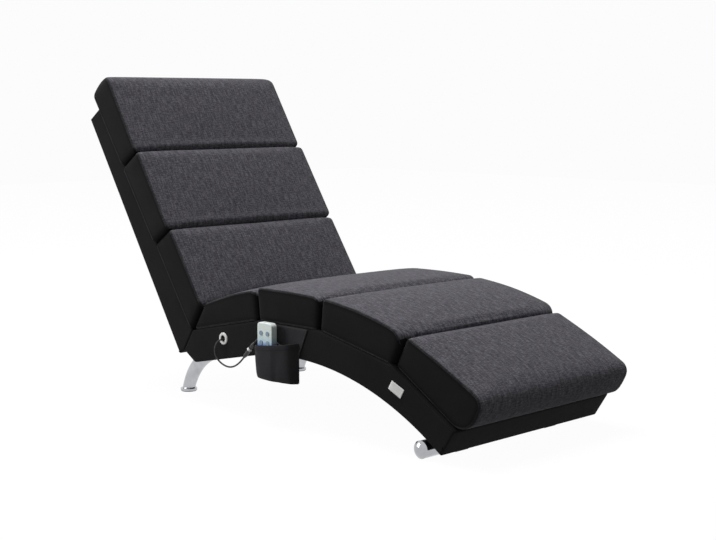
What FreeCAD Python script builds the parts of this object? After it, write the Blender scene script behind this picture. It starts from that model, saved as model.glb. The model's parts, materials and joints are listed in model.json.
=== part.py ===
"""Massage lounger: a padded back and a wave-shaped seat on a wooden frame, carried by two
chrome rear legs and a chrome front tube, with four vibration motors under the cushions
and a wired hand control in a side pocket.

Millimetres, +Z up. +Y points to the head end, +X to the sitter's left hand.
The profile is laid out from the crease, the line where back and seat meet on top of the
base. The finished parts are moved together so that the origin is under the middle.
"""
import FreeCAD, Part
import math
import os

V = FreeCAD.Vector

# Profile of the base
WIDTH = 580.0
CREASE_HEIGHT = 195.0
BACK_ANGLE = 55.5
BACK_LENGTH = 712.0
BACK_DEPTH_TOP = 64.0
BACK_DEPTH_LOW = 88.0
BACK_HEEL = 25.0
SEAT_SLOPES = (11.8, 0.4, -12.0, -32.5)
SEAT_LENGTHS = (273.0, 220.0, 250.0, 228.0)
CREASE_ANGLE = 123.0
CREASE_DEPTH = 70.0
UNDERSIDE_RADIUS = 830.0
UNDERSIDE_CREST = 173.0
UNDERSIDE_SHIFT = 23.0
HEEL_SETBACK = 45.0

# Cushions: thickness at the head and foot ends
BACK_CUSHION = 80.0
SEAT_CUSHIONS = ((63.0, 77.0), (84.0, 80.0), (79.0, 81.0), (86.0, 103.0))
BACK_SPLITS = (267.0, 512.0)
TOP_OVERHANG = 38.0
CALF_OVERHANG = 31.0
EDGE_RADIUS = 18.0
TOP_END_RADII = (24.0, 18.0)
CALF_END_RADII = (46.0, 38.0)
CORNER_RADIUS = 15.0
CROWN = 6.0
SIDE_DRAW = 4.0
CUSHION_GAP = 0.5

# Frame and upholstery
COVER = 3.0
SEAT_FIT = 0.5
STRAP_THICKNESS = 2.0
STRAP_WIDTH = 58.0
PLY = 15.0
RAIL_TOP = 38.0
RAIL_HEIGHT = 26.0
RAIL_WIDTH = 52.0
END_RAIL = 22.0

# Motors
CASE_LENGTH = 66.0
CASE_WIDTH = 46.0
CASE_HEIGHT = 31.0
CASE_WALL = 5.0
CASE_FLANGE = 5.0
CASE_SCREW_RADIUS = 1.6
CASE_SCREW_HEAD = 3.5
CASE_SCREW_LENGTH = 18.0
WEIGHT_RADIUS = 10.5
SHAFT_RADIUS = 2.0
RUNNING_FIT = 0.05
UPPER_BACK_U = 250.0
LOWER_BACK_U = 545.0
THIGH_U = 115.0
CALF_U = 42.0

# Legs and front tube
LEG_INSET = 85.0
LEG_PLATE_WIDTH = 62.0
LEG_PLATE_EDGE = 3.0
LEG_PLATE_THICKNESS = 4.0
LEG_HALF_THICKNESS = 16.5
LEG_SWEEP_INSIDE = 18.0
LEG_SWEEP_OUTSIDE = 21.0
LEG_ANKLE = 19.0
LEG_RINGS = 5
FOOT_Y = 129.0
FOOT_RADIUS = 23.0
FOOT_HEIGHT = 6.0
GLIDE = 2.0
TUBE_RADIUS = 21.0
TUBE_WALL = 1.5
TUBE_OVERHANG = 4.0
CAP_DOME = 9.0
SADDLE_INSET = 125.0
SADDLE_LENGTH = 90.0
SADDLE_WIDTH = 44.0
SADDLE_THICKNESS = 3.5
SADDLE_GAP = 1.5
CRADLE = 32.0
SCREW_RADIUS = 2.5
SCREW_HEAD = 5.0
SCREW_LENGTH = 26.0

# Electrics
BOX_LENGTH = 60.0
BOX_WIDTH = 76.0
BOX_HEIGHT = 36.0
BOX_LID = 3.0
GROMMET_U = 127.0
GROMMET_N = -33.0
GROMMET_FLANGE = 16.0
GROMMET_LIP = 3.0
GROMMET_SLEEVE = 12.0
GROMMET_BORE = 9.0
LOOM_RADIUS = 3.5
LOOM_N = -20.0
LOOM_BEND = 40.0
CORD = 4.5
CONNECTOR_RADIUS = 5.2
COLLAR_RADIUS = 6.4
SOCKET_LENGTH = 32.0
PLUG_LENGTH = 31.0
BOOT_LENGTH = 9.0
HANK_TURNS = 6
HANK_RUN = 31.0
HANK_GAP = 0.8
TIE = 0.5
TIE_FIT = 0.3
TIE_WIDTH = 8.0

# Pocket and hand control
POCKET_WIDTH = 160.0
POCKET_FLAP = 182.0
POCKET_BOTTOM = 106.0
POCKET_MOUTH = 195.0
MOUTH_RISE = 36.0
POCKET_DEPTH = 40.0
CLOTH = 1.6
HANDSET_WIDTH = 54.0
HANDSET_LENGTH = 116.0
HANDSET_THICKNESS = 18.0
HANDSET_ROUND = 10.0
HANDSET_BOTTOM = 140.0
HANDSET_STANDOFF = 14.0
SHELL = 2.5
KEY_RADIUS = 6.0
KEY_TRAVEL = 1.0

HALF = WIDTH / 2
LEG_X = HALF - LEG_INSET
SADDLE_X = HALF - SADDLE_INSET
parts = {}


def direction(angle):
    return V(0, math.cos(math.radians(angle)), math.sin(math.radians(angle)))


def solid_of(shape):
    return shape.Solids[0] if len(shape.Solids) == 1 else shape


class Deck:
    """A straight stretch of the base top: u runs to the foot, x across, n off the deck."""

    def __init__(self, start, heading, length):
        self.start = start
        self.u = direction(heading)
        self.n = V(0, self.u.z, -self.u.y)
        self.length = length
        self.end = start + self.u * length

    def at(self, u, x, n):
        return self.start + self.u * u + V(x, 0, 0) + self.n * n

    def place(self, shape):
        s, u, n = self.start, self.u, self.n
        turned = shape.copy()
        turned.Placement = FreeCAD.Placement(
            FreeCAD.Matrix(0, 1, 0, s.x, u.y, 0, n.y, s.y, u.z, 0, n.z, s.z, 0, 0, 0, 1)
        ).multiply(turned.Placement)
        return turned

    def block(self, u0, u1, x0, x1, n0, n1):
        return self.place(Part.makeBox(u1 - u0, x1 - x0, n1 - n0, V(u0, x0, n0)))

    def pin(self, u, x, n, length, radius):
        return Part.makeCylinder(radius, length, self.at(u, x, n), self.n)


def wire_of(points, through=None):
    """A closed wire; an edge that starts at a point named in through is an arc."""
    through = through or {}
    edges = []
    for i, p in enumerate(points):
        q = points[(i + 1) % len(points)]
        if i in through:
            edges.append(Part.Arc(p, through[i], q).toShape())
        else:
            edges.append(Part.makeLine(p, q))
    return Part.Wire(edges)


def prism(face, x0, x1):
    moved = face.copy()
    moved.translate(V(x0, 0, 0))
    return moved.extrude(V(x1 - x0, 0, 0))


def tube_path(points, bend=None):
    """Straight runs joined by tangent arcs."""
    edges = []
    here = points[0]
    for before, corner, after in zip(points, points[1:], points[2:]):
        a = (before - corner).normalize()
        b = (after - corner).normalize()
        half = a.getAngle(b) / 2
        shorter = min((before - corner).Length, (after - corner).Length)
        reach = 0.45 * shorter if bend is None else bend / math.tan(half)
        inward = (a + b).normalize()
        radius = reach * math.tan(half)
        middle = corner + inward * (reach / math.cos(half) - radius)
        edges.append(Part.makeLine(here, corner + a * reach))
        edges.append(Part.Arc(corner + a * reach, middle, corner + b * reach).toShape())
        here = corner + b * reach
    edges.append(Part.makeLine(here, points[-1]))
    return Part.Wire(edges)


def tube_along(path, radius):
    """Carries a ring along straight runs and arcs and closes the tube at both ends."""
    start = path.Edges[0]
    heading = start.tangentAt(start.FirstParameter)
    ring = Part.Wire([Part.makeCircle(radius, start.valueAt(start.FirstParameter), heading)])
    faces = [Part.Face(ring)]
    for edge in path.Edges:
        if hasattr(edge.Curve, "Radius"):
            centre, axis = edge.Curve.Center, edge.Curve.Axis
            turn = math.degrees(edge.Length / edge.Curve.Radius)
            faces += ring.revolve(centre, axis, turn).Faces
            ring = ring.rotated(centre, axis, turn)
        else:
            move = edge.valueAt(edge.LastParameter) - edge.valueAt(edge.FirstParameter)
            faces += ring.extrude(move).Faces
            ring = ring.translated(move)
    faces.append(Part.Face(ring))
    skin = Part.makeShell(faces)
    skin.sewShape()
    return solid_of(Part.makeSolid(skin))


# Deck line, from the head to the foot
crease = V(0, 0, CREASE_HEIGHT)
back_heading = 180 + BACK_ANGLE
back = Deck(crease - direction(back_heading) * BACK_LENGTH, back_heading, BACK_LENGTH)
seat = []
start = crease
for slope, length in zip(SEAT_SLOPES, SEAT_LENGTHS):
    seat.append(Deck(start, 180 - slope, length))
    start = seat[-1].end
rear, middle, knee, calf = seat

# Base outlines
fold = direction(CREASE_ANGLE)
heel = crease - fold * CREASE_DEPTH
arch_y = (middle.start.y + middle.end.y) / 2 - UNDERSIDE_SHIFT
arch = V(0, arch_y, UNDERSIDE_CREST - UNDERSIDE_RADIUS)
tangent = arch + rear.n * UNDERSIDE_RADIUS
underside = Deck(tangent, 180 - SEAT_SLOPES[0], 0)
heel_front = underside.at((heel.y - HEEL_SETBACK - tangent.y) / underside.u.y, 0, 0)
drop = calf.end - arch
along = drop.dot(calf.n)
front_depth = along - math.sqrt(along ** 2 - drop.dot(drop) + UNDERSIDE_RADIUS ** 2)
front_low = calf.end - calf.n * front_depth
arch_top = arch + V(0, 0, UNDERSIDE_RADIUS)
seat_face = Part.Face(wire_of(
    [crease, rear.end, middle.end, knee.end, calf.end, front_low, tangent, heel_front, heel],
    {5: arch_top},
))
back_low = back.at(BACK_LENGTH + BACK_HEEL, 0, -BACK_DEPTH_LOW)
back_face = Part.Face(wire_of(
    [crease, back.start, back.at(0, 0, -BACK_DEPTH_TOP), back_low, heel]
))
def inset(face, distance):
    return Part.Face(face.makeOffset2D(-distance, 2, False, False, True).OuterWire)


PANEL_INSET = COVER + SEAT_FIT + STRAP_THICKNESS
for name, face in (("back", back_face), ("seat", seat_face)):
    outer = prism(face, -HALF, HALF)
    inner = prism(inset(face, COVER), -HALF + COVER, HALF - COVER)
    parts[name + "_cover"] = outer.cut(inner)
    panel = inset(face, PANEL_INSET)
    parts[name + "_side_panel_right"] = prism(panel, -HALF + COVER, -HALF + COVER + PLY)
    parts[name + "_side_panel_left"] = prism(panel, HALF - COVER - PLY, HALF - COVER)

# Cushions, lofted from the head end to the foot end of each


def edge_drop(distance, radius):
    """How far a rounded edge has fallen at a distance from its end."""
    if distance >= radius:
        return 0.0
    return radius - math.sqrt(radius ** 2 - (radius - distance) ** 2)


def cushion(deck, u0, u1, lean0, lean1, thick0, thick1, head, foot):
    length = u1 - u0
    turns = [1 - math.cos(math.radians(18 * i)) for i in range(6)]
    stations = [t * head[0] / length for t in turns]
    stations += [0.3, 0.5, 0.7]
    stations += [1 - t * foot[0] / length for t in reversed(turns)]
    wires = []
    for f in stations:
        near, far = f * length, (1 - f) * length
        low = CUSHION_GAP + edge_drop(near, head[1]) + edge_drop(far, foot[1])
        high = thick0 + (thick1 - thick0) * f
        high -= edge_drop(near, head[0]) + edge_drop(far, foot[0])
        tuck = (edge_drop(near, CORNER_RADIUS) + edge_drop(far, CORNER_RADIUS)) / 2
        half = HALF - SIDE_DRAW * math.sin(math.pi * f) - tuck
        crown = 1 + CROWN * math.sin(math.pi * f)
        r = min(CORNER_RADIUS, (high - low) / 3)
        bevel = r * (1 - math.sqrt(0.5))

        def at(x, n):
            u = (1 - f) * (u0 + lean0 * n) + f * (u1 + lean1 * n)
            return deck.at(u, x, n)

        corners = [at(-half, low), at(half, low), at(half, high - r)]
        corners += [at(half - r, high), at(r - half, high), at(-half, high - r)]
        wires.append(wire_of(corners, {
            2: at(half - bevel, high - bevel),
            3: at(0, high + crown),
            4: at(bevel - half, high - bevel),
        }))
    return solid_of(Part.makeLoft(wires, True, True))


def lean(deck, line):
    return line.dot(deck.u) / line.dot(deck.n)


def split(before, after):
    return (before.n + after.n).normalize()


EDGE = (EDGE_RADIUS, EDGE_RADIUS / 3)
G = CUSHION_GAP
cuts = [-TOP_OVERHANG] + [BACK_LENGTH - s for s in reversed(BACK_SPLITS)] + [BACK_LENGTH]
back_names = ("back_cushion_top", "back_cushion_middle", "back_cushion_bottom")
for i, name in enumerate(back_names):
    first = TOP_END_RADII if i == 0 else EDGE
    last = lean(back, fold) if i == 2 else 0.0
    parts[name] = cushion(
        back, cuts[i] + G, cuts[i + 1] - G, 0.0, last, BACK_CUSHION, BACK_CUSHION, first, EDGE
    )
joints = [fold] + [split(a, b) for a, b in zip(seat, seat[1:])] + [calf.n]
seat_names = ("seat_cushion", "thigh_cushion", "knee_cushion", "calf_cushion")
for i, name in enumerate(seat_names):
    deck = seat[i]
    t0, t1 = SEAT_CUSHIONS[i]
    reach = deck.length + (CALF_OVERHANG if i == 3 else 0.0)
    last = CALF_END_RADII if i == 3 else EDGE
    lean0, lean1 = lean(deck, joints[i]), lean(deck, joints[i + 1])
    parts[name] = cushion(deck, G, reach - G, lean0, lean1, t0, t1, EDGE, last)

# Cross rails, straps and motors
IN = HALF - COVER - PLY
zones = {
    "upper_back": (back, UPPER_BACK_U, "back_middle_rail"),
    "lower_back": (back, LOWER_BACK_U, "back_lumbar_rail"),
    "thigh": (middle, THIGH_U, "seat_middle_rail"),
    "calf": (calf, CALF_U, "seat_calf_rail"),
}
axis_points = {}
motor_screws = []
for zone, (deck, u, rail) in zones.items():
    half_rail = RAIL_WIDTH / 2
    parts[rail] = deck.block(
        u - half_rail, u + half_rail, -IN, IN, -RAIL_TOP - RAIL_HEIGHT, -RAIL_TOP
    )
    half_w, half_l = CASE_WIDTH / 2, CASE_LENGTH / 2
    shaft_n = CASE_HEIGHT / 2 - RAIL_TOP
    side = V(1, 0, 0)
    barrel = Part.makeCylinder(CASE_HEIGHT / 2, CASE_LENGTH, deck.at(u, -half_l, shaft_n), side)
    waist = CASE_HEIGHT / 2
    saddle = deck.block(u - waist, u + waist, -half_l, half_l, -RAIL_TOP, shaft_n)
    feet = deck.block(u - half_w, u + half_w, -half_l, half_l, -RAIL_TOP, CASE_FLANGE - RAIL_TOP)
    case = barrel.fuse([saddle, feet]).removeSplitter()
    for turn in (-1, 1):
        su = u + turn * (half_w - CASE_SCREW_HEAD - 0.5)
        sx = turn * (half_l - 2 * CASE_SCREW_HEAD)
        seat_n = CASE_FLANGE - RAIL_TOP
        head = deck.pin(su, sx, seat_n, CASE_SCREW_HEAD / 2, CASE_SCREW_HEAD)
        shank = deck.pin(su, sx, seat_n - CASE_SCREW_LENGTH, CASE_SCREW_LENGTH, CASE_SCREW_RADIUS)
        motor_screws.append(head.fuse(shank).removeSplitter())
        hole = deck.pin(su, sx, seat_n - CASE_SCREW_LENGTH - 1, CASE_SCREW_LENGTH + 2, CASE_SCREW_RADIUS + 0.1)
        case = case.cut(hole)
        parts[rail] = parts[rail].cut(hole)
    room = half_l - 2 * CASE_WALL
    chamber = Part.makeCylinder(WEIGHT_RADIUS + 1.5, 2 * room, deck.at(u, -room, shaft_n), side)
    journal = half_l - CASE_WALL / 2
    bore = Part.makeCylinder(
        SHAFT_RADIUS + RUNNING_FIT, 2 * journal, deck.at(u, -journal, shaft_n), side
    )
    parts[zone + "_motor_case"] = case.cut(chamber.fuse(bore))
    tip = journal - 0.5
    shaft = Part.makeCylinder(SHAFT_RADIUS, 2 * tip, deck.at(u, -tip, shaft_n), side)
    swing = room - 2.0
    weight = Part.makeCylinder(WEIGHT_RADIUS, 2 * swing, deck.at(u, -swing, shaft_n), side)
    lower = deck.block(
        u - CASE_WIDTH, u + CASE_WIDTH, -half_l, half_l, shaft_n - CASE_HEIGHT, shaft_n
    )
    parts[zone + "_motor_rotor"] = shaft.fuse(weight.common(lower)).removeSplitter()
    axis_points[zone] = deck.at(u, 0, shaft_n)

parts["motor_screws"] = Part.makeCompound(motor_screws)
STRAP_N = -COVER - SEAT_FIT
for name, decks, counts in (("back", [back], [7]), ("seat", seat, [3, 3, 3, 3])):
    straps = []
    for deck, count in zip(decks, counts):
        for i in range(count):
            u = deck.length * (i + 0.5) / count
            straps.append(deck.block(
                u - STRAP_WIDTH / 2, u + STRAP_WIDTH / 2,
                COVER + SEAT_FIT - HALF, HALF - COVER - SEAT_FIT,
                STRAP_N - STRAP_THICKNESS, STRAP_N,
            ))
    parts[name + "_straps"] = Part.makeCompound(straps)

back_room = prism(inset(back_face, COVER + SEAT_FIT), -IN, IN)
seat_room = prism(inset(seat_face, COVER + SEAT_FIT), -IN, IN)
parts["back_top_rail"] = back.block(
    COVER + SEAT_FIT, COVER + SEAT_FIT + END_RAIL, -IN, IN, -RAIL_TOP - END_RAIL / 2, -RAIL_HEIGHT / 2
)

# Bolted joint of back and seat, on the plane of the crease
join = Deck(crease, CREASE_ANGLE + 180, CREASE_DEPTH)
JOIN_TOP, JOIN_LOW = 10.0, 42.0
BOLT_RADIUS, BOLT_HEAD, BOLT_HEAD_HEIGHT = 3.0, 6.5, 5.0
WASHER_FIT = 0.2
back_bottom = join.block(JOIN_TOP, JOIN_LOW, -IN, IN, -COVER - END_RAIL, -COVER)
seat_rear = join.block(JOIN_TOP, JOIN_LOW, -IN, IN, COVER, COVER + END_RAIL)
grip = COVER + END_RAIL
bolts, nuts, bolt_holes = [], [], []
for x in (-0.7 * IN, -0.25 * IN, 0.25 * IN, 0.7 * IN):
    u = (JOIN_TOP + JOIN_LOW) / 2
    hexagon = Part.Face(Part.makePolygon([
        V(BOLT_HEAD * math.cos(math.radians(60 * i)), BOLT_HEAD * math.sin(math.radians(60 * i)), 0)
        for i in range(7)
    ]))
    block = hexagon.extrude(V(0, 0, BOLT_HEAD_HEIGHT))
    head = block.copy()
    head.translate(V(u, x, -grip - BOLT_HEAD_HEIGHT))
    nut = block.copy()
    nut.translate(V(u, x, grip))
    shank = join.pin(u, x, -grip, 2 * grip + BOLT_HEAD_HEIGHT + 2, BOLT_RADIUS)
    bolts.append(join.place(head).fuse(shank).removeSplitter())
    nuts.append(join.place(nut).cut(join.pin(u, x, grip - 1, 10, BOLT_RADIUS + RUNNING_FIT)))
    bolt_holes.append(join.pin(u, x, -grip - 1, 2 * grip + 2, BOLT_RADIUS + WASHER_FIT))
parts["joining_bolts"] = Part.makeCompound(bolts)
parts["joining_nuts"] = Part.makeCompound(nuts)

# Rear legs under the heel of the seat base
lift = heel_front - heel
heel_angle = math.degrees(math.atan2(lift.z, lift.y))
under = Deck(heel, heel_angle, lift.Length)
leg_rail = under.block(
    LEG_PLATE_EDGE, under.length, -IN, IN, COVER + SEAT_FIT, COVER + END_RAIL
).common(seat_room)
parts["seat_leg_rail"] = solid_of(leg_rail.cut(join.block(
    JOIN_TOP - SEAT_FIT, JOIN_LOW + SEAT_FIT, -HALF, HALF, 0, COVER + END_RAIL + SEAT_FIT
)))


def arc_at(p, q, bulge, f):
    """A point at fraction f of the shallow arc from p to q that bulges up and rearwards."""
    chord = q - p
    side = V(0, -chord.z, chord.y).normalize()
    return p + chord * f + side * (4 * bulge * f * (1 - f))


screws, screw_holes, glides = [], [], []
for name, side in (("rear_leg_right", -1), ("rear_leg_left", 1)):
    x = side * LEG_X
    u0, u1 = LEG_PLATE_EDGE, under.length - LEG_PLATE_EDGE
    wide = LEG_PLATE_WIDTH / 2
    leg = under.block(u0, u1, x - wide, x + wide, -LEG_PLATE_THICKNESS, 0)
    ankle = V(x, FOOT_Y, GLIDE + FOOT_HEIGHT - 1)
    inside = (under.at(u1, x, 1 - LEG_PLATE_THICKNESS), ankle - V(0, LEG_ANKLE, 0))
    outside = (under.at(u0, x, 1 - LEG_PLATE_THICKNESS), ankle + V(0, LEG_ANKLE, 0))
    rings = []
    for i in range(LEG_RINGS):
        f = i / (LEG_RINGS - 1)
        p = arc_at(inside[0], inside[1], LEG_SWEEP_INSIDE, f)
        q = arc_at(outside[0], outside[1], LEG_SWEEP_OUTSIDE, f)
        centre = (p + q) / 2
        major = max((q - p).Length / 2, LEG_HALF_THICKNESS + 0.5)
        far = centre + (q - p).normalize() * major
        rim = Part.Ellipse(far, centre + V(LEG_HALF_THICKNESS, 0, 0), centre)
        rings.append(Part.Wire([rim.toShape()]))
    horn = solid_of(Part.makeLoft(rings, True, False))
    disc = Part.makeCylinder(FOOT_RADIUS, FOOT_HEIGHT, V(x, FOOT_Y, GLIDE))
    glides.append(Part.makeCylinder(FOOT_RADIUS - 2, GLIDE, V(x, FOOT_Y, 0)))
    leg = leg.fuse([horn, disc]).removeSplitter()
    holes = []
    for u in (u0 + 2 * SCREW_HEAD, u1 - 2 * SCREW_HEAD):
        for across in (-1, 1):
            sx = x + across * (wide - SCREW_HEAD - 1.5)
            head = under.pin(u, sx, -LEG_PLATE_THICKNESS - 3, 3, SCREW_HEAD)
            shank = under.pin(u, sx, -LEG_PLATE_THICKNESS, SCREW_LENGTH, SCREW_RADIUS)
            screws.append(head.fuse(shank).removeSplitter())
            holes.append(under.pin(u, sx, -LEG_PLATE_THICKNESS - 1, SCREW_LENGTH + 2, SCREW_RADIUS + 0.1))
    parts[name] = solid_of(leg.cut(holes))
    screw_holes += holes
parts["rear_foot_glides"] = Part.makeCompound(glides)

# Front tube with its saddles
tube_reach = UNDERSIDE_RADIUS - SADDLE_GAP - SADDLE_THICKNESS - TUBE_RADIUS
tube_z = TUBE_RADIUS + GLIDE
tube_y = arch.y - math.sqrt(tube_reach ** 2 - (tube_z - arch.z) ** 2)
tube_centre = V(0, tube_y, tube_z)
tube_half = HALF + TUBE_OVERHANG
up = (tube_centre - arch).normalize()
rest = Deck(
    arch + up * UNDERSIDE_RADIUS, math.degrees(math.atan2(up.y, -up.z)), SADDLE_LENGTH
)
pipe = Part.makeCylinder(TUBE_RADIUS, 2 * tube_half, tube_centre - V(tube_half, 0, 0), V(1, 0, 0))
hollow = Part.makeCylinder(
    TUBE_RADIUS - TUBE_WALL, 2 * tube_half, tube_centre - V(tube_half, 0, 0), V(1, 0, 0)
)
parts["front_tube"] = pipe.cut(hollow)
caps = []
for side in (-1, 1):
    face = tube_centre + V(side * tube_half, 0, 0)
    out = V(side, 0, 0)
    ball = (TUBE_RADIUS ** 2 + CAP_DOME ** 2) / (2 * CAP_DOME)
    dome = Part.makeSphere(ball, face + out * (CAP_DOME - ball))
    dome = dome.common(Part.makeCylinder(TUBE_RADIUS, 2 * CAP_DOME, face, out))
    spigot = Part.makeCylinder(TUBE_RADIUS - TUBE_WALL - 0.2, 14, face - out * 14, out)
    caps.append(dome.fuse(spigot).removeSplitter())
parts["front_tube_caps"] = Part.makeCompound(caps)
parts["seat_front_rail"] = rest.block(
    -SADDLE_LENGTH / 2 + 3, SADDLE_LENGTH / 2 - 3, -IN, IN, COVER + 2, COVER + 2 + RAIL_HEIGHT
).common(seat_room)
saddles, tube_pads = [], []
plate_top = -SADDLE_GAP
plate_low = plate_top - SADDLE_THICKNESS
for side in (-1, 1):
    x = side * SADDLE_X
    half_l, half_w = SADDLE_LENGTH / 2, SADDLE_WIDTH / 2
    plate = rest.block(-half_l, half_l, x - half_w, x + half_w, plate_low, plate_top)
    cradle = rest.block(
        -CRADLE / 2, CRADLE / 2, x - half_w, x + half_w, plate_low - TUBE_RADIUS / 2, plate_low
    )
    around = Part.makeCylinder(
        TUBE_RADIUS + 0.05, SADDLE_WIDTH + 2, tube_centre + V(x - half_w - 1, 0, 0), V(1, 0, 0)
    )
    saddle = plate.fuse(cradle).removeSplitter().cut(around)
    holes = []
    for u in (2.5 * SCREW_HEAD - half_l, half_l - 2.5 * SCREW_HEAD):
        for across in (-1, 1):
            sx = x + across * half_w / 2
            head = rest.pin(u, sx, plate_low - 3, 3, SCREW_HEAD)
            shank = rest.pin(u, sx, plate_low, SCREW_LENGTH, SCREW_RADIUS)
            screws.append(head.fuse(shank).removeSplitter())
            holes.append(rest.pin(u, sx, plate_low - 1, SCREW_LENGTH + 2, SCREW_RADIUS + 0.1))
    saddles.append(solid_of(saddle.cut(holes)))
    screw_holes += holes
    pad = Part.makeBox(SADDLE_WIDTH, TUBE_RADIUS, GLIDE + 3, V(x - half_w, tube_y - TUBE_RADIUS / 2, 0))
    tube_pads.append(pad.cut(around))
parts["front_tube_saddles"] = Part.makeCompound(saddles)
parts["front_tube_glides"] = Part.makeCompound(tube_pads)
parts["frame_screws"] = Part.makeCompound(screws)

# Control box, loom and grommet
box_x = -IN
box_u0, box_u1 = GROMMET_U - BOX_LENGTH / 2, GROMMET_U + BOX_LENGTH / 2
box_n0, box_n1 = GROMMET_N - BOX_HEIGHT / 2, GROMMET_N + BOX_HEIGHT / 2
tray = rear.block(box_u0, box_u1, box_x, box_x + BOX_WIDTH, box_n0 + BOX_LID, box_n1)
room = rear.block(
    box_u0 + SHELL, box_u1 - SHELL, box_x + SHELL, box_x + BOX_WIDTH - SHELL, box_n0, box_n1 - SHELL
)
parts["control_box"] = tray.cut(room)
parts["control_box_lid"] = rear.block(
    box_u0, box_u1, box_x, box_x + BOX_WIDTH, box_n0, box_n0 + BOX_LID
)
loom_x = box_x + BOX_WIDTH / 2
case_x = -CASE_LENGTH / 2


def mitre(before, after, n):
    m = split(before, after)
    return after.start + m * (n / m.dot(before.n)) + V(loom_x, 0, 0)


loom_back = tube_path([
    rear.at(GROMMET_U - BOX_LENGTH / 2, loom_x, LOOM_N),
    mitre(back, rear, LOOM_N),
    back.at(UPPER_BACK_U, loom_x, LOOM_N),
    back.at(UPPER_BACK_U, case_x, LOOM_N),
], LOOM_BEND)
loom_seat = tube_path([
    rear.at(GROMMET_U + BOX_LENGTH / 2, loom_x, LOOM_N),
    mitre(rear, middle, LOOM_N),
    mitre(middle, knee, LOOM_N),
    mitre(knee, calf, LOOM_N),
    calf.at(CALF_U, loom_x, LOOM_N),
    calf.at(CALF_U, case_x, LOOM_N),
], LOOM_BEND)
looms = []
for path, deck, u in ((loom_back, back, LOWER_BACK_U), (loom_seat, middle, THIGH_U)):
    branch = Part.makeCylinder(
        LOOM_RADIUS * 0.7, case_x - loom_x, deck.at(u, loom_x, LOOM_N), V(1, 0, 0)
    )
    looms.append(tube_along(path, LOOM_RADIUS).fuse(branch).removeSplitter())
parts["wiring_loom"] = Part.makeCompound(looms)
loom_holes = [tube_along(path, LOOM_RADIUS + 1.5) for path in (loom_back, loom_seat)]

entry = rear.at(GROMMET_U, -HALF, GROMMET_N)
inward = V(1, 0, 0)
flange = Part.makeCylinder(GROMMET_FLANGE, GROMMET_LIP, entry - inward * GROMMET_LIP, inward)
rim = [e for e in flange.Edges if abs(e.BoundBox.XMax - entry.x + GROMMET_LIP) < 0.01]
flange = flange.makeFillet(GROMMET_LIP * 0.7, rim)
sleeve = Part.makeCylinder(GROMMET_SLEEVE, COVER + PLY, entry, inward)
bore = Part.makeCylinder(GROMMET_BORE, COVER + PLY + 2 * GROMMET_LIP, entry - inward * 5, inward)
parts["cable_grommet"] = flange.fuse(sleeve).removeSplitter().cut(bore)
sleeve_hole = Part.makeCylinder(GROMMET_SLEEVE + 0.1, COVER + PLY + 2, entry - inward, inward)

# Holes through the frame and the covers
parts["back_bottom_rail"] = solid_of(back_bottom.common(back_room).cut(bolt_holes + loom_holes))
parts["seat_rear_rail"] = solid_of(seat_rear.common(seat_room).cut(bolt_holes + loom_holes))
parts["back_cover"] = parts["back_cover"].cut(bolt_holes + loom_holes)
parts["seat_cover"] = parts["seat_cover"].cut(bolt_holes + loom_holes + screw_holes + [sleeve_hole])
for name in ("seat_leg_rail", "seat_front_rail"):
    parts[name] = solid_of(parts[name].cut(screw_holes))
parts["seat_side_panel_right"] = parts["seat_side_panel_right"].cut(sleeve_hole)

# Side pocket, sewn under the edge of the thigh cushion
wall_x = -HALF
pocket_rear = middle.start.y - 3.0
pocket_front = pocket_rear - POCKET_WIDTH
pocket_mid = (pocket_rear + pocket_front) / 2
flap_top = middle.start.z - SEAT_FIT


def pocket_ring(z, depth, cloth):
    deep = depth - 2 * cloth
    x0 = wall_x - cloth
    y0, y1 = pocket_rear - cloth, pocket_front + cloth
    shoulder = 0.75 * deep
    round_off = 0.2 * POCKET_DEPTH
    corners = [V(x0, y0, z), V(x0 - shoulder, y0 - round_off, z)]
    corners += [V(x0 - shoulder, y1 + round_off, z), V(x0, y1, z)]
    return wire_of(corners, {
        0: V(x0 - 0.45 * deep, y0 - 0.15 * round_off, z),
        1: V(x0 - deep, pocket_mid, z),
        2: V(x0 - 0.45 * deep, y1 + 0.15 * round_off, z),
    })


levels = ((0.0, 0.6), (0.08, 0.85), (0.25, 0.95), (1.0, 1.0))
pocket_tall = POCKET_MOUTH + MOUTH_RISE - POCKET_BOTTOM
outer = Part.makeLoft(
    [pocket_ring(POCKET_BOTTOM + pocket_tall * f, POCKET_DEPTH * d, 0.0) for f, d in levels], True, True
)
inner = Part.makeLoft([
    pocket_ring(POCKET_BOTTOM + CLOTH + (pocket_tall + 1) * f, POCKET_DEPTH * d, CLOTH) for f, d in levels
], True, True)
bag = outer.cut(inner)
mouth_rear = V(0, pocket_rear + 5, POCKET_MOUTH - MOUTH_RISE / 2)
mouth_front = V(0, pocket_front - 5, POCKET_MOUTH + MOUTH_RISE / 2)
above = V(0, 0, 2 * MOUTH_RISE)
wedge = prism(
    Part.Face(wire_of([mouth_rear, mouth_front, mouth_front + above, mouth_rear + above])),
    wall_x - 2 * POCKET_DEPTH, wall_x - CLOTH,
)
bag = bag.cut(wedge)
flap = prism(Part.Face(wire_of([
    V(0, pocket_rear, flap_top),
    V(0, pocket_rear - POCKET_FLAP, flap_top),
    V(0, pocket_front, POCKET_MOUTH),
    V(0, pocket_front, POCKET_BOTTOM + CLOTH),
    V(0, pocket_rear, POCKET_BOTTOM + CLOTH),
])), wall_x - CLOTH, wall_x)
parts["side_pocket"] = solid_of(bag.fuse(flap).removeSplitter())

# Hand control standing in the pocket
hand_x = wall_x - HANDSET_STANDOFF
face_x = hand_x - HANDSET_THICKNESS
part_x = face_x + 0.55 * HANDSET_THICKNESS
hand_y = pocket_rear - 0.2 * POCKET_WIDTH - HANDSET_WIDTH / 2


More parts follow.
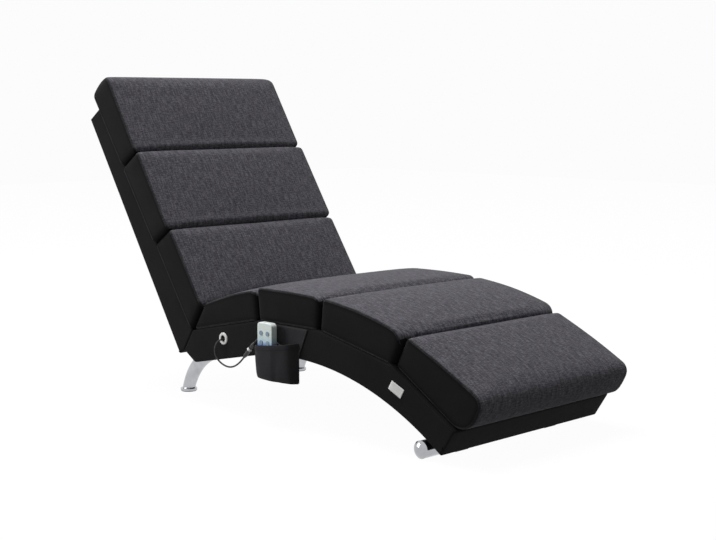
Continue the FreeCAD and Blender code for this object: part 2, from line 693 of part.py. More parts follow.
def plate_yz(x0, x1, half_y, z0, z1, radius):
    block = Part.makeBox(x1 - x0, 2 * half_y, z1 - z0, V(x0, hand_y - half_y, z0))
    upright = [e for e in block.Edges if abs(e.BoundBox.XLength - (x1 - x0)) < 0.01]
    return block.makeFillet(radius, upright)


hand_top = HANDSET_BOTTOM + HANDSET_LENGTH
hand_half = HANDSET_WIDTH / 2
front = plate_yz(face_x, part_x, hand_half, HANDSET_BOTTOM, hand_top, HANDSET_ROUND)
rims = [e for e in front.Edges if abs(e.BoundBox.XMax - face_x) < 0.01]
front = front.makeFillet(2.0, rims)
room = plate_yz(
    face_x + SHELL, part_x, hand_half - SHELL, HANDSET_BOTTOM + SHELL, hand_top - SHELL,
    HANDSET_ROUND - SHELL,
)
front = front.cut(room)
key_pitch = 4 * KEY_RADIUS
key_sites = []
for row in (1, 0):
    for column in (-1, 1):
        key_y = hand_y - column * key_pitch / 2
        key_z = hand_top - 1.1 * key_pitch - (1 - row) * key_pitch
        key_sites.append(V(face_x, key_y, key_z))
key_names = ("power_key", "zone_key", "mode_key", "strength_key")
KEY_FIT = 0.25
for name, site in zip(key_names, key_sites):
    hole = Part.makeCylinder(KEY_RADIUS + KEY_FIT, 2 * SHELL, site - inward, inward)
    front = front.cut(hole)
    stem = Part.makeCylinder(KEY_RADIUS, KEY_TRAVEL + SHELL + 1, site - inward * (KEY_TRAVEL + 0.4), inward)
    lip = Part.makeCylinder(KEY_RADIUS + 1.6, 1.2, site + inward * (SHELL + KEY_FIT), inward)
    parts[name] = stem.fuse(lip).removeSplitter()
parts["handset_front_shell"] = solid_of(front)
rear_shell = plate_yz(part_x, hand_x, hand_half, HANDSET_BOTTOM, hand_top, HANDSET_ROUND)
rims = [e for e in rear_shell.Edges if abs(e.BoundBox.XMin - hand_x) < 0.01]
parts["handset_back_shell"] = rear_shell.makeFillet(2.0, rims)

# Lead tail, inline connector and hand control lead
socket_axis = V(0, -0.7, 0.715).normalize()
socket_start = entry + V(-16, -99, -35)
plug_start = socket_start + socket_axis * SOCKET_LENGTH
plug_end = plug_start + socket_axis * PLUG_LENGTH
boot = Part.makeCone(CORD / 2 + 0.4, CONNECTOR_RADIUS, BOOT_LENGTH, socket_start, socket_axis)
body = Part.makeCylinder(
    CONNECTOR_RADIUS, SOCKET_LENGTH - BOOT_LENGTH, socket_start + socket_axis * BOOT_LENGTH, socket_axis
)
parts["tail_socket"] = boot.fuse(body).removeSplitter()
collar = Part.makeCylinder(COLLAR_RADIUS, PLUG_LENGTH / 4, plug_start, socket_axis)
body = Part.makeCylinder(CONNECTOR_RADIUS, PLUG_LENGTH - BOOT_LENGTH, plug_start, socket_axis)
boot = Part.makeCone(
    CONNECTOR_RADIUS, CORD / 2 + 0.4, BOOT_LENGTH, plug_end - socket_axis * BOOT_LENGTH, socket_axis
)
parts["handset_plug"] = collar.fuse([body, boot]).removeSplitter()
bore_end = entry + inward * (COVER + PLY)
tail_points = [
    bore_end,
    entry + V(-16, 0, 0),
    entry + V(-24, 8, -20),
    entry + V(-22, 8, -44),
    entry + V(-18, -12, -63),
    entry + V(-16, -46, -69),
    socket_start - socket_axis * 26,
    socket_start,
]
# The spare lead is folded into a hank behind the hand control: its runs step inwards by
# half a pitch a turn, and the last run crosses over the others to the hand control.
fold_radius = 3 * CORD
pitch = CORD + HANK_GAP
hank_x = wall_x - CLOTH - TIE - 2 * TIE_FIT - CORD / 2
low_z = POCKET_BOTTOM + CLOTH + 1 + CORD / 2 + fold_radius + HANK_TURNS * pitch / 2
high_z = low_z + HANK_RUN
lead_end = V(hand_x - 8, hand_y, HANDSET_BOTTOM)
loop_y = hand_y - 36 + fold_radius


def run_y(k):
    return loop_y + (1 if k % 2 else -1) * (fold_radius + k * pitch / 2)


run_in, run_out = run_y(HANK_TURNS), run_y(0)
entry_points = [
    plug_end,
    plug_end + socket_axis * 16,
    V(hank_x - 2, hand_y + 20, high_z + 44),
    V(hank_x, hand_y - 18, high_z + 41),
    V(hank_x, run_in, high_z + 28),
    V(hank_x, run_in, low_z),
]
over = hank_x - pitch
exit_points = [
    V(hank_x, run_out, high_z),
    V(hank_x, run_out, high_z - 12),
    V(over, run_out, low_z),
    V(over - 1.4, run_out + 1, low_z - 17),
    V(over - 4, run_out + 13, low_z - 28),
    V(over - 9, run_out + 29, low_z - 24),
    V(lead_end.x, lead_end.y, low_z - 12),
    lead_end,
]
turns = []
for k in range(HANK_TURNS, 0, -1):
    level, bow = (low_z, -1) if (HANK_TURNS - k) % 2 == 0 else (high_z, 1)
    a, b = V(hank_x, run_y(k), level), V(hank_x, run_y(k - 1), level)
    crest = (a + b) / 2 + V(0, 0, bow * (b - a).Length / 2)
    turns.append(Part.Arc(a, crest, b).toShape())
    if k > 1:
        turns.append(Part.makeLine(b, V(hank_x, b.y, high_z if bow < 0 else low_z)))
entry_path, exit_path = tube_path(entry_points), tube_path(exit_points)
lead_path = Part.Wire(entry_path.Edges + turns + exit_path.Edges)
tail_path = tube_path(tail_points)
for name, path in (("tail_lead", tail_path), ("handset_lead", lead_path)):
    parts[name] = tube_along(path, CORD / 2)
    radii = [round(e.Curve.Radius, 1) for e in path.Edges if hasattr(e.Curve, "Radius")]
    section = math.pi * CORD ** 2 / 4
    print(name, "radii", radii, "length", round(path.Length, 1))
    print(name, "volume over section times length", round(parts[name].Volume / section / path.Length, 4))
spots = lead_path.discretize(Distance=2.0)
step = lead_path.Length / (len(spots) - 1)
apart = int(fold_radius * 2 / step)
gaps = [(p - q).Length for i, p in enumerate(spots) for q in spots[i + apart:]]
print("least gap of the hank to itself", round(min(gaps) - CORD, 2))
wide0, wide1 = run_y(HANK_TURNS) - CORD / 2 - TIE_FIT, run_y(HANK_TURNS - 1) + CORD / 2 + TIE_FIT
deep0, deep1 = hank_x - CORD / 2 - TIE_FIT, hank_x + CORD / 2 + TIE_FIT
tie_z = high_z - TIE_WIDTH - 2
around = Part.makeBox(
    deep1 - deep0 + 2 * TIE, wide1 - wide0 + 2 * TIE, TIE_WIDTH, V(deep0 - TIE, wide0 - TIE, tie_z)
)
parts["lead_tie"] = around.cut(
    Part.makeBox(deep1 - deep0, wide1 - wide0, TIE_WIDTH, V(deep0, wide0, tie_z))
)

# Put the origin on the floor under the middle, and write the files
cords = ("tail_lead", "handset_lead")
box = FreeCAD.BoundBox()
for name, shape in parts.items():
    if name not in cords:
        box.add(shape.BoundBox)
shift = V(-(box.XMin + box.XMax) / 2, -(box.YMin + box.YMax) / 2, 0)
os.makedirs("parts", exist_ok=True)
for name, shape in parts.items():
    shape.translate(shift)
    shape.exportStep("parts/%s.step" % name)
    if not shape.isValid() or shape.Volume <= 0:
        print("not sound:", name)
print("nodes", len(parts), "box", round(box.XLength, 1), round(box.YLength, 1), round(box.ZLength, 1))
print("lowest", round(box.ZMin, 3), "shift", round(shift.x, 3), round(shift.y, 3))
print("tube y", round(tube_y, 3))
print("foot y", FOOT_Y)
room_low = V(wall_x - POCKET_DEPTH / 2, pocket_front + 10, POCKET_BOTTOM + 10)
room_high = V(wall_x - 2 * CLOTH, run_in - CORD, POCKET_MOUTH)
print("pocket room", *[round(c, 2) for c in list(room_low) + list(room_high)])
for zone, p in axis_points.items():
    print("axis", zone, [round(c / 1000, 6) for c in p + shift])
for name, site in zip(key_names, key_sites):
    print("key", name, [round(c / 1000, 6) for c in site + shift])
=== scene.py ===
"""Looks of the massage lounger: padded cushions, cloth-covered base, leads, pocket, metal and plastic."""
import json
import math
from collections import namedtuple

import bmesh
import bpy
import numpy as np
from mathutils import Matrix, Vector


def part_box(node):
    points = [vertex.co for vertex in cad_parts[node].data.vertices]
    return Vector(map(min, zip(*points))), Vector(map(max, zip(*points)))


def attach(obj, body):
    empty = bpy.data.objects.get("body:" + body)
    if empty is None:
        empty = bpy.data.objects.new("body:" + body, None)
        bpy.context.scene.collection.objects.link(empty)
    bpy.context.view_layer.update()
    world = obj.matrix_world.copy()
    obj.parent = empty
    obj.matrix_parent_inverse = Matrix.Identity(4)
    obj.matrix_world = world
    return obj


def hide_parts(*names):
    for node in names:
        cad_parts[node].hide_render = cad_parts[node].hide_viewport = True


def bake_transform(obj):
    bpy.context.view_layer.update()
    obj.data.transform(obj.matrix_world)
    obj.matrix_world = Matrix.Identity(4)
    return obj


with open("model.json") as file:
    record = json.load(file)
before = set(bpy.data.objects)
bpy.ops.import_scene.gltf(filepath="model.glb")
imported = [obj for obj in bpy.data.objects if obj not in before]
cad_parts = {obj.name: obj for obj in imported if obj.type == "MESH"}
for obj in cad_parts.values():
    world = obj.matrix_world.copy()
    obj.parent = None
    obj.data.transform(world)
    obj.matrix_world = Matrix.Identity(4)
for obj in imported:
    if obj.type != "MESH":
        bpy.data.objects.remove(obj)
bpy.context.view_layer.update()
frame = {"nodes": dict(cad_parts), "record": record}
nodes = frame["nodes"]
scene = bpy.context.scene

# Driving sizes of the CAD source: millimetres from the crease line, headings in degrees from +Y to +Z
HALF = 290.0
CREASE = np.array([0.0, 195.0])
BACK_HEADING = 235.5
BACK_LENGTH = 712.0
BACK_DEPTH_TOP = 64.0
BACK_DEPTH_LOW = 88.0
BACK_HEEL = 25.0
SEAT_HEADINGS = (168.2, 179.6, 192.0, 212.5)
SEAT_LENGTHS = (273.0, 220.0, 250.0, 228.0)
FOLD_HEADING = 123.0
FOLD_DEPTH = 70.0
UNDERSIDE_RADIUS = 830.0
UNDERSIDE_CREST = 173.0
UNDERSIDE_SHIFT = 23.0
HEEL_SETBACK = 45.0
GROMMET_U = 127.0
GROMMET_N = -33.0
SOCKET_LENGTH = 32.0
PLUG_LENGTH = 31.0
CORD = 4.5
HANK_TURNS = 6
HANK_RUN = 31.0
HANK_GAP = 0.8
TIE = 0.5
CLOTH = 1.6
POCKET_BOTTOM = 106.0
HAND_Y = -329.23
HAND_BOTTOM = 140.0
SHIFT = np.array([14.222, 265.959, 0.0])


def place(points):
    """Points measured from the crease line, in mm, moved by the part's shift and turned to metres."""
    return (np.asarray(points, float) + SHIFT) / 1000


def heading(angle):
    """Unit vector (y, z) at an angle from +Y towards +Z."""
    return np.array([math.cos(math.radians(angle)), math.sin(math.radians(angle))])


def off(angle):
    """Unit vector (y, z) square to a deck of that heading, on the cushions' side."""
    return np.array([math.sin(math.radians(angle)), -math.cos(math.radians(angle))])


def add_object(name, data):
    """Object at the origin, linked to the scene."""
    made = bpy.data.objects.new(name, data)
    scene.collection.objects.link(made)
    return made


def add_piece(name, points, faces, material, body="lounger"):
    """Smooth-shaded mesh object at the origin from points in metres, riding on a body if one is named."""
    mesh = bpy.data.meshes.new(name)
    mesh.from_pydata(np.reshape(points, (-1, 3)).tolist(), [], [list(map(int, face)) for face in faces])
    mesh.polygons.foreach_set("use_smooth", np.ones(len(mesh.polygons), bool))
    mesh.update()
    mesh.materials.append(material)
    piece = add_object(name, mesh)
    if body:
        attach(piece, body)
    return piece


def grid_faces(rows, columns, closed=False, start=0):
    """Quads of a grid of rows by columns of points; closed joins the last column to the first."""
    last = columns if closed else columns - 1
    i, j = np.meshgrid(np.arange(rows - 1), np.arange(last), indexing="ij")
    k = (j + 1) % columns
    quads = np.stack([i * columns + j, i * columns + k, (i + 1) * columns + k, (i + 1) * columns + j], -1)
    return quads.reshape(-1, 4) + start


def tube_faces(rings, sides):
    """Quads of a tube of rings, with a flat cap at each end."""
    first = np.arange(sides)
    return [*grid_faces(rings, sides, True), first[::-1], first + sides * (rings - 1)]


def store(mesh, name, kind, values):
    """Attribute on the points of a mesh: a number each for FLOAT, three for FLOAT_VECTOR."""
    layer = mesh.attributes.new(name, kind, "POINT")
    field = "vector" if kind == "FLOAT_VECTOR" else "value"
    layer.data.foreach_set(field, np.asarray(values, np.float32).ravel())


def read_points(mesh):
    """Places of a mesh's points, a row each."""
    flat = np.zeros(len(mesh.vertices) * 3, np.float32)
    mesh.vertices.foreach_get("co", flat)
    return flat.reshape(-1, 3).astype(float)


def face_outward(mesh, merge=None):
    """Turns a mesh's faces outward, after its points nearer to each other than merge are made one."""
    form = bmesh.new()
    form.from_mesh(mesh)
    if merge:
        bmesh.ops.remove_doubles(form, verts=form.verts, dist=merge)
    bmesh.ops.recalc_face_normals(form, faces=form.faces)
    form.to_mesh(mesh)
    form.free()


def cloth_area(mesh):
    """Area of a mesh in square metres."""
    form = bmesh.new()
    form.from_mesh(mesh)
    area = sum(face.calc_area() for face in form.faces)
    form.free()
    return area


def add_wall(piece, name, thickness, offset=-1.0):
    """Thickness in metres for a sheet; offset -1 is all inward, 0 half to each side."""
    wall = piece.modifiers.new(name, "SOLIDIFY")
    wall.thickness = thickness
    wall.offset = offset


# Materials


def linear(code):
    """Linear RGBA of an sRGB hex colour."""
    value = np.array([int(code[i:i + 2], 16) for i in (1, 3, 5)]) / 255
    value = np.where(value <= 0.04045, value / 12.92, ((value + 0.055) / 1.055) ** 2.4)
    return (*value.tolist(), 1.0)


def add(tree, kind, inputs=None, stops=None, **settings):
    """One node with its settings; an input is a socket to link from or a value to set."""
    made = tree.nodes.new(kind)
    for key, value in settings.items():
        setattr(made, key, value)
    for key, value in (inputs or {}).items():
        if isinstance(value, bpy.types.NodeSocket):
            tree.links.new(value, made.inputs[key])
        else:
            made.inputs[key].default_value = value
    for i, (position, code) in enumerate(stops or []):
        ramp = made.color_ramp.elements
        stop = ramp[i] if i < 2 else ramp.new(position)
        stop.position = position
        stop.color = linear(code)
    return made


def start_material(name, roughness, **settings):
    """New material; the shader's own constants are set on its sockets."""
    material = bpy.data.materials.new(name)
    material.use_nodes = True
    shader = material.node_tree.nodes["Principled BSDF"]
    shader.inputs["Roughness"].default_value = roughness
    for key, value in settings.items():
        shader.inputs[key.replace("_", " ")].default_value = value
    return material, material.node_tree, shader


def wire(tree, shader, **sockets):
    """Links to the shader's inputs; an underscore in a name stands for a space."""
    for key, socket in sockets.items():
        tree.links.new(socket, shader.inputs[key.replace("_", " ")])


def bands(pitch_mm):
    """Scale of a wave texture for a pitch: its phase is 20 times the scaled coordinate."""
    return 2 * math.pi / (20 * pitch_mm / 1000)


def dyed(tree, spot, dark, light, drift, fuzz):
    """Colour of dyed cloth: a soft drift with finer fuzz on it; drift and fuzz are scale and detail."""
    soft, fine = (
        add(tree, "ShaderNodeTexNoise", {"Vector": spot, "Scale": scale, "Detail": detail}).outputs["Fac"]
        for scale, detail in (drift, fuzz)
    )
    tone = add(tree, "ShaderNodeMath", {0: fine, 1: 0.4, 2: soft}, operation="MULTIPLY_ADD").outputs[0]
    return add(
        tree, "ShaderNodeValToRGB", {"Fac": tone}, stops=[(0.45, dark), (0.95, light)]
    ).outputs["Color"]


def seam_shaded(tree, colour, from_seam, span, codes):
    """Painted seam shade: colour times a grey that runs from one code to the other over a span of distances
    from the seam.
    """
    share = add(
        tree, "ShaderNodeMapRange", {"Value": from_seam, "From Min": span[0], "From Max": span[1]}
    ).outputs[0]
    shade = add(
        tree, "ShaderNodeValToRGB", {"Fac": share}, stops=[(0.0, codes[0]), (1.0, codes[1])]
    ).outputs["Color"]
    return add(
        tree, "ShaderNodeMix", {"Factor": 1.0, "A": colour, "B": shade},
        data_type="RGBA", blend_type="MULTIPLY",
    ).outputs["Result"]


def square_weave(tree, spot, pitch_mm):
    """Relief of a plain weave: bands along Y plus bands along Z, both of the thread's pitch."""
    warp, weft = (
        add(
            tree, "ShaderNodeTexWave", {"Vector": spot, "Scale": bands(pitch_mm)}, bands_direction=way
        ).outputs["Fac"]
        for way in "YZ"
    )
    weave = add(tree, "ShaderNodeMath", {0: warp, 1: weft}, operation="ADD").outputs[0]
    return add(tree, "ShaderNodeBump", {"Height": weave, "Strength": 0.3, "Distance": 0.0004}).outputs[0]


def mould_grit(tree, spot, grit_mm, strength, depth_mm):
    """Spark-eroded grit left by a mould: its level, and its relief."""
    level = add(tree, "ShaderNodeTexNoise", {"Vector": spot, "Scale": 1000 / grit_mm}).outputs["Fac"]
    relief = add(
        tree, "ShaderNodeBump", {"Height": level, "Strength": strength, "Distance": depth_mm / 1000}
    ).outputs[0]
    return level, relief


def roughness_spread(tree, level, low, high):
    """Roughness from low to high over the middle of a noise's range."""
    return add(
        tree, "ShaderNodeMapRange",
        {"Value": level, "From Min": 0.3, "From Max": 0.7, "To Min": low, "To Max": high},
    ).outputs[0]


def upholstery():
    """Slub-woven polyester: heathered yarn whose uneven thickness gives soft streaks along and across.

    The yarn is about 0.8 mm thick, too fine to show from the camera, so it is drawn at 2.2 mm.
    The cloth attribute holds the place across, the place along and the distance from the seam.
    """
    material, tree, shader = start_material(
        "slub_woven_polyester", 0.92, Sheen_Weight=0.08, Sheen_Roughness=0.5, Specular_IOR_Level=0.15
    )
    cloth = add(tree, "ShaderNodeAttribute", attribute_name="cloth").outputs["Vector"]
    axes = add(tree, "ShaderNodeSeparateXYZ", {"Vector": cloth}).outputs
    flat = add(tree, "ShaderNodeCombineXYZ", {"X": axes["X"], "Y": axes["Y"]}).outputs[0]
    slub, weft = (
        add(tree, "ShaderNodeTexNoise", {"Vector": vector, "Scale": 1.0, "Detail": 3.0}).outputs["Fac"]
        for vector in (
            add(tree, "ShaderNodeMapping", {"Vector": flat, "Scale": (1 / wide, 1 / long, 1.0)}).outputs[0]
            for wide, long in ((0.003, 0.028), (0.014, 0.0026))
        )
    )
    fleck = add(
        tree, "ShaderNodeTexNoise", {"Vector": flat, "Scale": 1 / 0.0024, "Detail": 2.0}
    ).outputs["Fac"]
    yarn, pick = (
        add(
            tree, "ShaderNodeTexWave", {"Vector": flat, "Scale": bands(2.2), "Distortion": 0.6},
            bands_direction=way,
        ).outputs["Fac"]
        for way in "XY"
    )
    threads = add(tree, "ShaderNodeMath", {0: yarn, 1: pick}, operation="MULTIPLY").outputs[0]
    streaks = add(tree, "ShaderNodeMath", {0: slub, 1: weft}, operation="ADD").outputs[0]
    mixed = add(tree, "ShaderNodeMath", {0: streaks, 1: fleck}, operation="ADD").outputs[0]
    level = add(
        tree, "ShaderNodeMapRange", {"Value": mixed, "From Min": 1.15, "From Max": 1.85}
    ).outputs[0]
    heather = add(
        tree, "ShaderNodeValToRGB", {"Fac": level},
        stops=[(0.0, "#2a292d"), (1.0, "#74727a"), (0.5, "#4c4a50")],
    ).outputs["Color"]
    # Painted shade along the seam: the heather is darkened to #7c7c7c at the seam and fades out 5 mm from it
    colour = seam_shaded(tree, heather, axes["Z"], (0.0005, 0.005), ("#7c7c7c", "#ffffff"))
    relief = add(
        tree, "ShaderNodeMath", {0: threads, 1: 0.35, 2: mixed}, operation="MULTIPLY_ADD"
    ).outputs[0]
    fine = add(tree, "ShaderNodeBump", {"Height": relief, "Strength": 0.5, "Distance": 0.0007}).outputs[0]
    pucker = add(
        tree, "ShaderNodeTexNoise", {"Vector": cloth, "Scale": 1 / 0.018, "Detail": 2.0}
    ).outputs["Fac"]
    bump = add(
        tree, "ShaderNodeBump", {"Height": pucker, "Strength": 0.3, "Distance": 0.003, "Normal": fine}
    ).outputs[0]
    wire(tree, shader, Base_Color=colour, Normal=bump)
    return material


def side_cloth():
    """Plain black polyester of the cushions' side panels, with painted shade darkening it near the seam."""
    material, tree, shader = start_material(
        "black_side_polyester", 0.9, Sheen_Weight=0.03, Sheen_Roughness=0.4, Specular_IOR_Level=0.12
    )
    cloth = add(tree, "ShaderNodeAttribute", attribute_name="cloth").outputs["Vector"]
    from_seam = add(tree, "ShaderNodeSeparateXYZ", {"Vector": cloth}).outputs["Z"]
    spot = add(tree, "ShaderNodeTexCoord").outputs["Object"]
    black = dyed(tree, spot, "#100f10", "#1b191b", (1 / 0.11, 3.0), (1 / 0.0026, 2.0))
    # Painted shade along the seam: the black darkens from 16 mm below the seam to its darkest from 6 mm
    # below it
    colour = seam_shaded(tree, black, from_seam, (-0.016, -0.006), ("#ffffff", "#8a8a8a"))
    wire(tree, shader, Base_Color=colour, Normal=square_weave(tree, spot, 1.8))
    return material


def plain_cloth(name, dark, light, pitch_mm, sheen):
    """Plain-woven polyester or canvas, dyed through: soft tone changes and a fine square weave."""
    material, tree, shader = start_material(
        name, 0.88, Sheen_Weight=sheen, Sheen_Roughness=0.45, Specular_IOR_Level=0.12
    )
    spot = add(tree, "ShaderNodeTexCoord").outputs["Object"]
    colour = dyed(tree, spot, dark, light, (7.0, 4.0), (380.0, 2.0))
    turned = add(tree, "ShaderNodeMapping", {"Vector": spot, "Rotation": (0.0, 0.0, 0.3)}).outputs[0]
    fine = square_weave(tree, turned, pitch_mm)
    pull = add(tree, "ShaderNodeTexNoise", {"Vector": spot, "Scale": 14.0, "Detail": 2.0}).outputs["Fac"]
    bump = add(
        tree, "ShaderNodeBump", {"Height": pull, "Strength": 0.3, "Distance": 0.006, "Normal": fine}
    ).outputs[0]
    wire(tree, shader, Base_Color=colour, Normal=bump)
    return material


def metal(name, bright, dull, low, high, grain_mm):
    """Plated or bare steel: colour nearly even, roughness spread by polish marks of the given size."""
    material, tree, shader = start_material(name, low, Metallic=1.0)
    spot = add(tree, "ShaderNodeTexCoord").outputs["Object"]
    marks = add(
        tree, "ShaderNodeTexNoise", {"Vector": spot, "Scale": 1000 / grain_mm, "Detail": 4.0}
    ).outputs["Fac"]
    rough = roughness_spread(tree, marks, low, high)
    colour = add(
        tree, "ShaderNodeValToRGB", {"Fac": marks}, stops=[(0.3, bright), (0.8, dull)]
    ).outputs["Color"]
    bump = add(tree, "ShaderNodeBump", {"Height": marks, "Strength": 0.04, "Distance": 0.0005}).outputs[0]
    wire(tree, shader, Base_Color=colour, Roughness=rough, Normal=bump)
    return material


def moulded(name, dark, light, roughness, grit_mm):
    """Injection-moulded plastic or rubber: spark-eroded grit in relief and a faint colour drift."""
    material, tree, shader = start_material(name, roughness, IOR=1.5)
    spot = add(tree, "ShaderNodeTexCoord").outputs["Object"]
    drift = add(tree, "ShaderNodeTexNoise", {"Vector": spot, "Scale": 45.0, "Detail": 3.0}).outputs["Fac"]
    colour = add(
        tree, "ShaderNodeValToRGB", {"Fac": drift}, stops=[(0.3, dark), (0.7, light)]
    ).outputs["Color"]
    grit, bump = mould_grit(tree, spot, grit_mm, 0.15, 0.4)
    rough = roughness_spread(tree, grit, roughness - 0.06, roughness + 0.06)
    wire(tree, shader, Base_Color=colour, Roughness=rough, Normal=bump)
    return material


def birch_ply():
    """Raw birch plywood: pale veneers, long grain, fine pores."""
    material, tree, shader = start_material("raw_birch_plywood", 0.7)
    spot = add(tree, "ShaderNodeTexCoord").outputs["Object"]
    long = add(tree, "ShaderNodeMapping", {"Vector": spot, "Scale": (60.0, 6.0, 60.0)}).outputs[0]
    grain = add(tree, "ShaderNodeTexNoise", {"Vector": long, "Scale": 2.0, "Detail": 6.0}).outputs["Fac"]
    plies = add(
        tree, "ShaderNodeTexWave", {"Vector": spot, "Scale": bands(3.0), "Distortion": 0.4}
    ).outputs["Fac"]
    tone = add(tree, "ShaderNodeMath", {0: plies, 1: 0.25, 2: grain}, operation="MULTIPLY_ADD").outputs[0]
    colour = add(
        tree, "ShaderNodeValToRGB", {"Fac": tone}, stops=[(0.3, "#a98558"), (0.9, "#d8bb8c")]
    ).outputs["Color"]
    bump = add(tree, "ShaderNodeBump", {"Height": grain, "Strength": 0.2, "Distance": 0.0005}).outputs[0]
    wire(tree, shader, Base_Color=colour, Normal=bump)
    return material


def two_tone_shell(low_z, high_z):
    """Moulded ABS of the hand control: pale face that runs into a blue grip end."""
    material, tree, shader = start_material("two_tone_moulded_abs", 0.3, IOR=1.53, Coat_Weight=0.2)
    spot = add(tree, "ShaderNodeTexCoord").outputs["Object"]
    height = add(tree, "ShaderNodeSeparateXYZ", {"Vector": spot}).outputs["Z"]
    level = add(
        tree, "ShaderNodeMapRange", {"Value": height, "From Min": low_z, "From Max": high_z}
    ).outputs[0]
    drift = add(tree, "ShaderNodeTexNoise", {"Vector": spot, "Scale": 60.0, "Detail": 2.0}).outputs["Fac"]
    shifted = add(
        tree, "ShaderNodeMath", {0: drift, 1: 0.12, 2: level}, operation="MULTIPLY_ADD"
    ).outputs[0]
    colour = add(
        tree, "ShaderNodeValToRGB", {"Fac": shifted},
        stops=[(0.06, "#27408f"), (1.0, "#eef6f2"), (0.2, "#5f86cc"), (0.34, "#bfdcec"), (0.6, "#e4f3ea")],
    ).outputs["Color"]
    wire(tree, shader, Base_Color=colour, Normal=mould_grit(tree, spot, 0.625, 0.08, 0.3)[1])
    return material


def collared(start, axis, first_mm, last_mm):
    """Black moulded PVC with one pale collar between two distances along the plug's axis."""
    material, tree, shader = start_material("black_moulded_pvc", 0.42, IOR=1.5)
    spot = add(tree, "ShaderNodeTexCoord").outputs["Object"]
    reach = add(
        tree, "ShaderNodeVectorMath", {0: spot, 1: tuple(-start)}, operation="ADD"
    ).outputs["Vector"]
    along = add(
        tree, "ShaderNodeVectorMath", {0: reach, 1: tuple(axis)}, operation="DOT_PRODUCT"
    ).outputs["Value"]
    after, before = (
        add(tree, "ShaderNodeMath", {0: along, 1: bound / 1000}, operation=test).outputs[0]
        for bound, test in ((first_mm, "GREATER_THAN"), (last_mm, "LESS_THAN"))
    )
    inside = add(tree, "ShaderNodeMath", {0: after, 1: before}, operation="MULTIPLY").outputs[0]
    colour = add(
        tree, "ShaderNodeValToRGB", {"Fac": inside}, stops=[(0.0, "#19191a"), (1.0, "#f4f4f2")]
    ).outputs["Color"]
    wire(tree, shader, Base_Color=colour, Normal=mould_grit(tree, spot, 0.7, 0.15, 0.4)[1])
    return material


# Where the tail lead leaves the grommet, and the line of its socket and plug
rear_u, rear_n = heading(SEAT_HEADINGS[0]), off(SEAT_HEADINGS[0])
entry = np.array([-HALF, *(CREASE + GROMMET_U * rear_u + GROMMET_N * rear_n)])
plug_axis = np.array([0.0, -0.7, 0.715]) / math.hypot(0.7, 0.715)
socket_start = entry + (-16.0, -99.0, -35.0)
plug_end = socket_start + plug_axis * (SOCKET_LENGTH + PLUG_LENGTH)
# End of the plug's pale collar along that line, in mm, and height where the hand control's blue fades, in m
COLLAR_END = 39.7
BLUE_TOP = 0.19
hand_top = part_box("handset_front_shell")[1].z
finishes = {
    "cushion_fabric": upholstery(),
    "cover_fabric": plain_cloth("black_plain_woven_polyester", "#100f10", "#191719", 1.8, 0.02),
    "plywood": birch_ply(),
    "strap": plain_cloth("elastic_webbing", "#5b5240", "#7d715a", 3.0, 0.1),
    "chrome": metal("polished_chrome_plate", "#b9bbbf", "#a3a5a9", 0.06, 0.14, 30.0),
    "steel": metal("zinc_plated_steel", "#b9babd", "#8f9195", 0.25, 0.45, 6.0),
    "glide_plastic": moulded("black_nylon", "#161617", "#202021", 0.55, 0.8),
    "case_plastic": moulded("black_moulded_abs", "#1d1d1f", "#28282a", 0.5, 0.7),
    "grommet": moulded("pale_moulded_abs", "#e8e8e6", "#f6f6f4", 0.35, 0.8),
    "cord_rubber": moulded("black_pvc_sheath", "#0c0c0c", "#151515", 0.6, 0.6),
    "connector_plastic": collared(place(socket_start), plug_axis, SOCKET_LENGTH, COLLAR_END),
    "handset_plastic": two_tone_shell(BLUE_TOP, hand_top),
    "key_plastic": moulded("grey_blue_key_rubber", "#7c8fa8", "#93a5ba", 0.5, 0.6),
}
black_sides = side_cloth()
pocket_canvas = plain_cloth("charcoal_canvas", "#29292b", "#37373a", 2.4, 0.05)
tag_tape = plain_cloth("white_satin_tape", "#f0f0ee", "#fbfbfa", 0.9, 0.2)
for part in frame["record"]["subparts"]:
    mesh = nodes[part["node"]].data
    mesh.materials.clear()
    mesh.materials.append(finishes[part["material_slot"]])

# Camera at the photograph's angle
camera = add_object("camera", bpy.data.cameras.new("camera"))
camera.data.sensor_width = 36.0
camera.data.lens = 69.301
camera.location = place((-2512.7, -2876.1, 802.3))
camera.rotation_euler = (math.radians(90 - 7.059), 0.0, math.radians(-44.642))
scene.camera = camera

# Leads


def nurbs(name, points):
    """Quadratic NURBS curve object with the route's points as its control points."""
    curve = bpy.data.curves.new(name, "CURVE")
    curve.dimensions = "3D"
    line = curve.splines.new("NURBS")
    points = place(points)
    line.points.add(len(points) - 1)
    line.points.foreach_set("co", np.hstack([points, np.ones((len(points), 1))]).ravel())
    line.order_u = 3
    line.use_endpoint_u = True
    line.resolution_u = 10
    return add_object(name, curve)


def tube_rings(spine, radius, sides):
    """Rings square to a line: the side vector is carried along by taking out each new heading's share."""
    ahead = np.gradient(spine, axis=0)
    ahead /= np.linalg.norm(ahead, axis=1, keepdims=True)
    side = np.cross(ahead[0], (0.3, 0.5, 0.8))
    sides_along = []
    for step in ahead:
        side = side - step * (side @ step)
        side /= np.linalg.norm(side)
        sides_along.append(side)
    first = np.array(sides_along)
    second = np.cross(ahead, first)
    turn = np.linspace(0, 2 * np.pi, sides, endpoint=False)
    ring = np.cos(turn)[None, :, None] * first[:, None] + np.sin(turn)[None, :, None] * second[:, None]
    return spine[:, None] + radius * ring


tail_route = [
    entry + (18, 0, 0),
    entry + (-16, 0, 0),
    entry + (-24, 8, -20),
    entry + (-22, 8, -44),
    entry + (-18, -12, -63),
    entry + (-16, -46, -69),
    socket_start - plug_axis * 26,
    socket_start,
]
tail_cord = nurbs("tail_cord", tail_route)
tail_cord.data.bevel_depth = CORD / 2000
tail_cord.data.bevel_resolution = 5
tail_cord.data.use_fill_caps = True
tail_cord.data.materials.append(finishes["cord_rubber"])
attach(tail_cord, "lounger")
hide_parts("tail_lead")

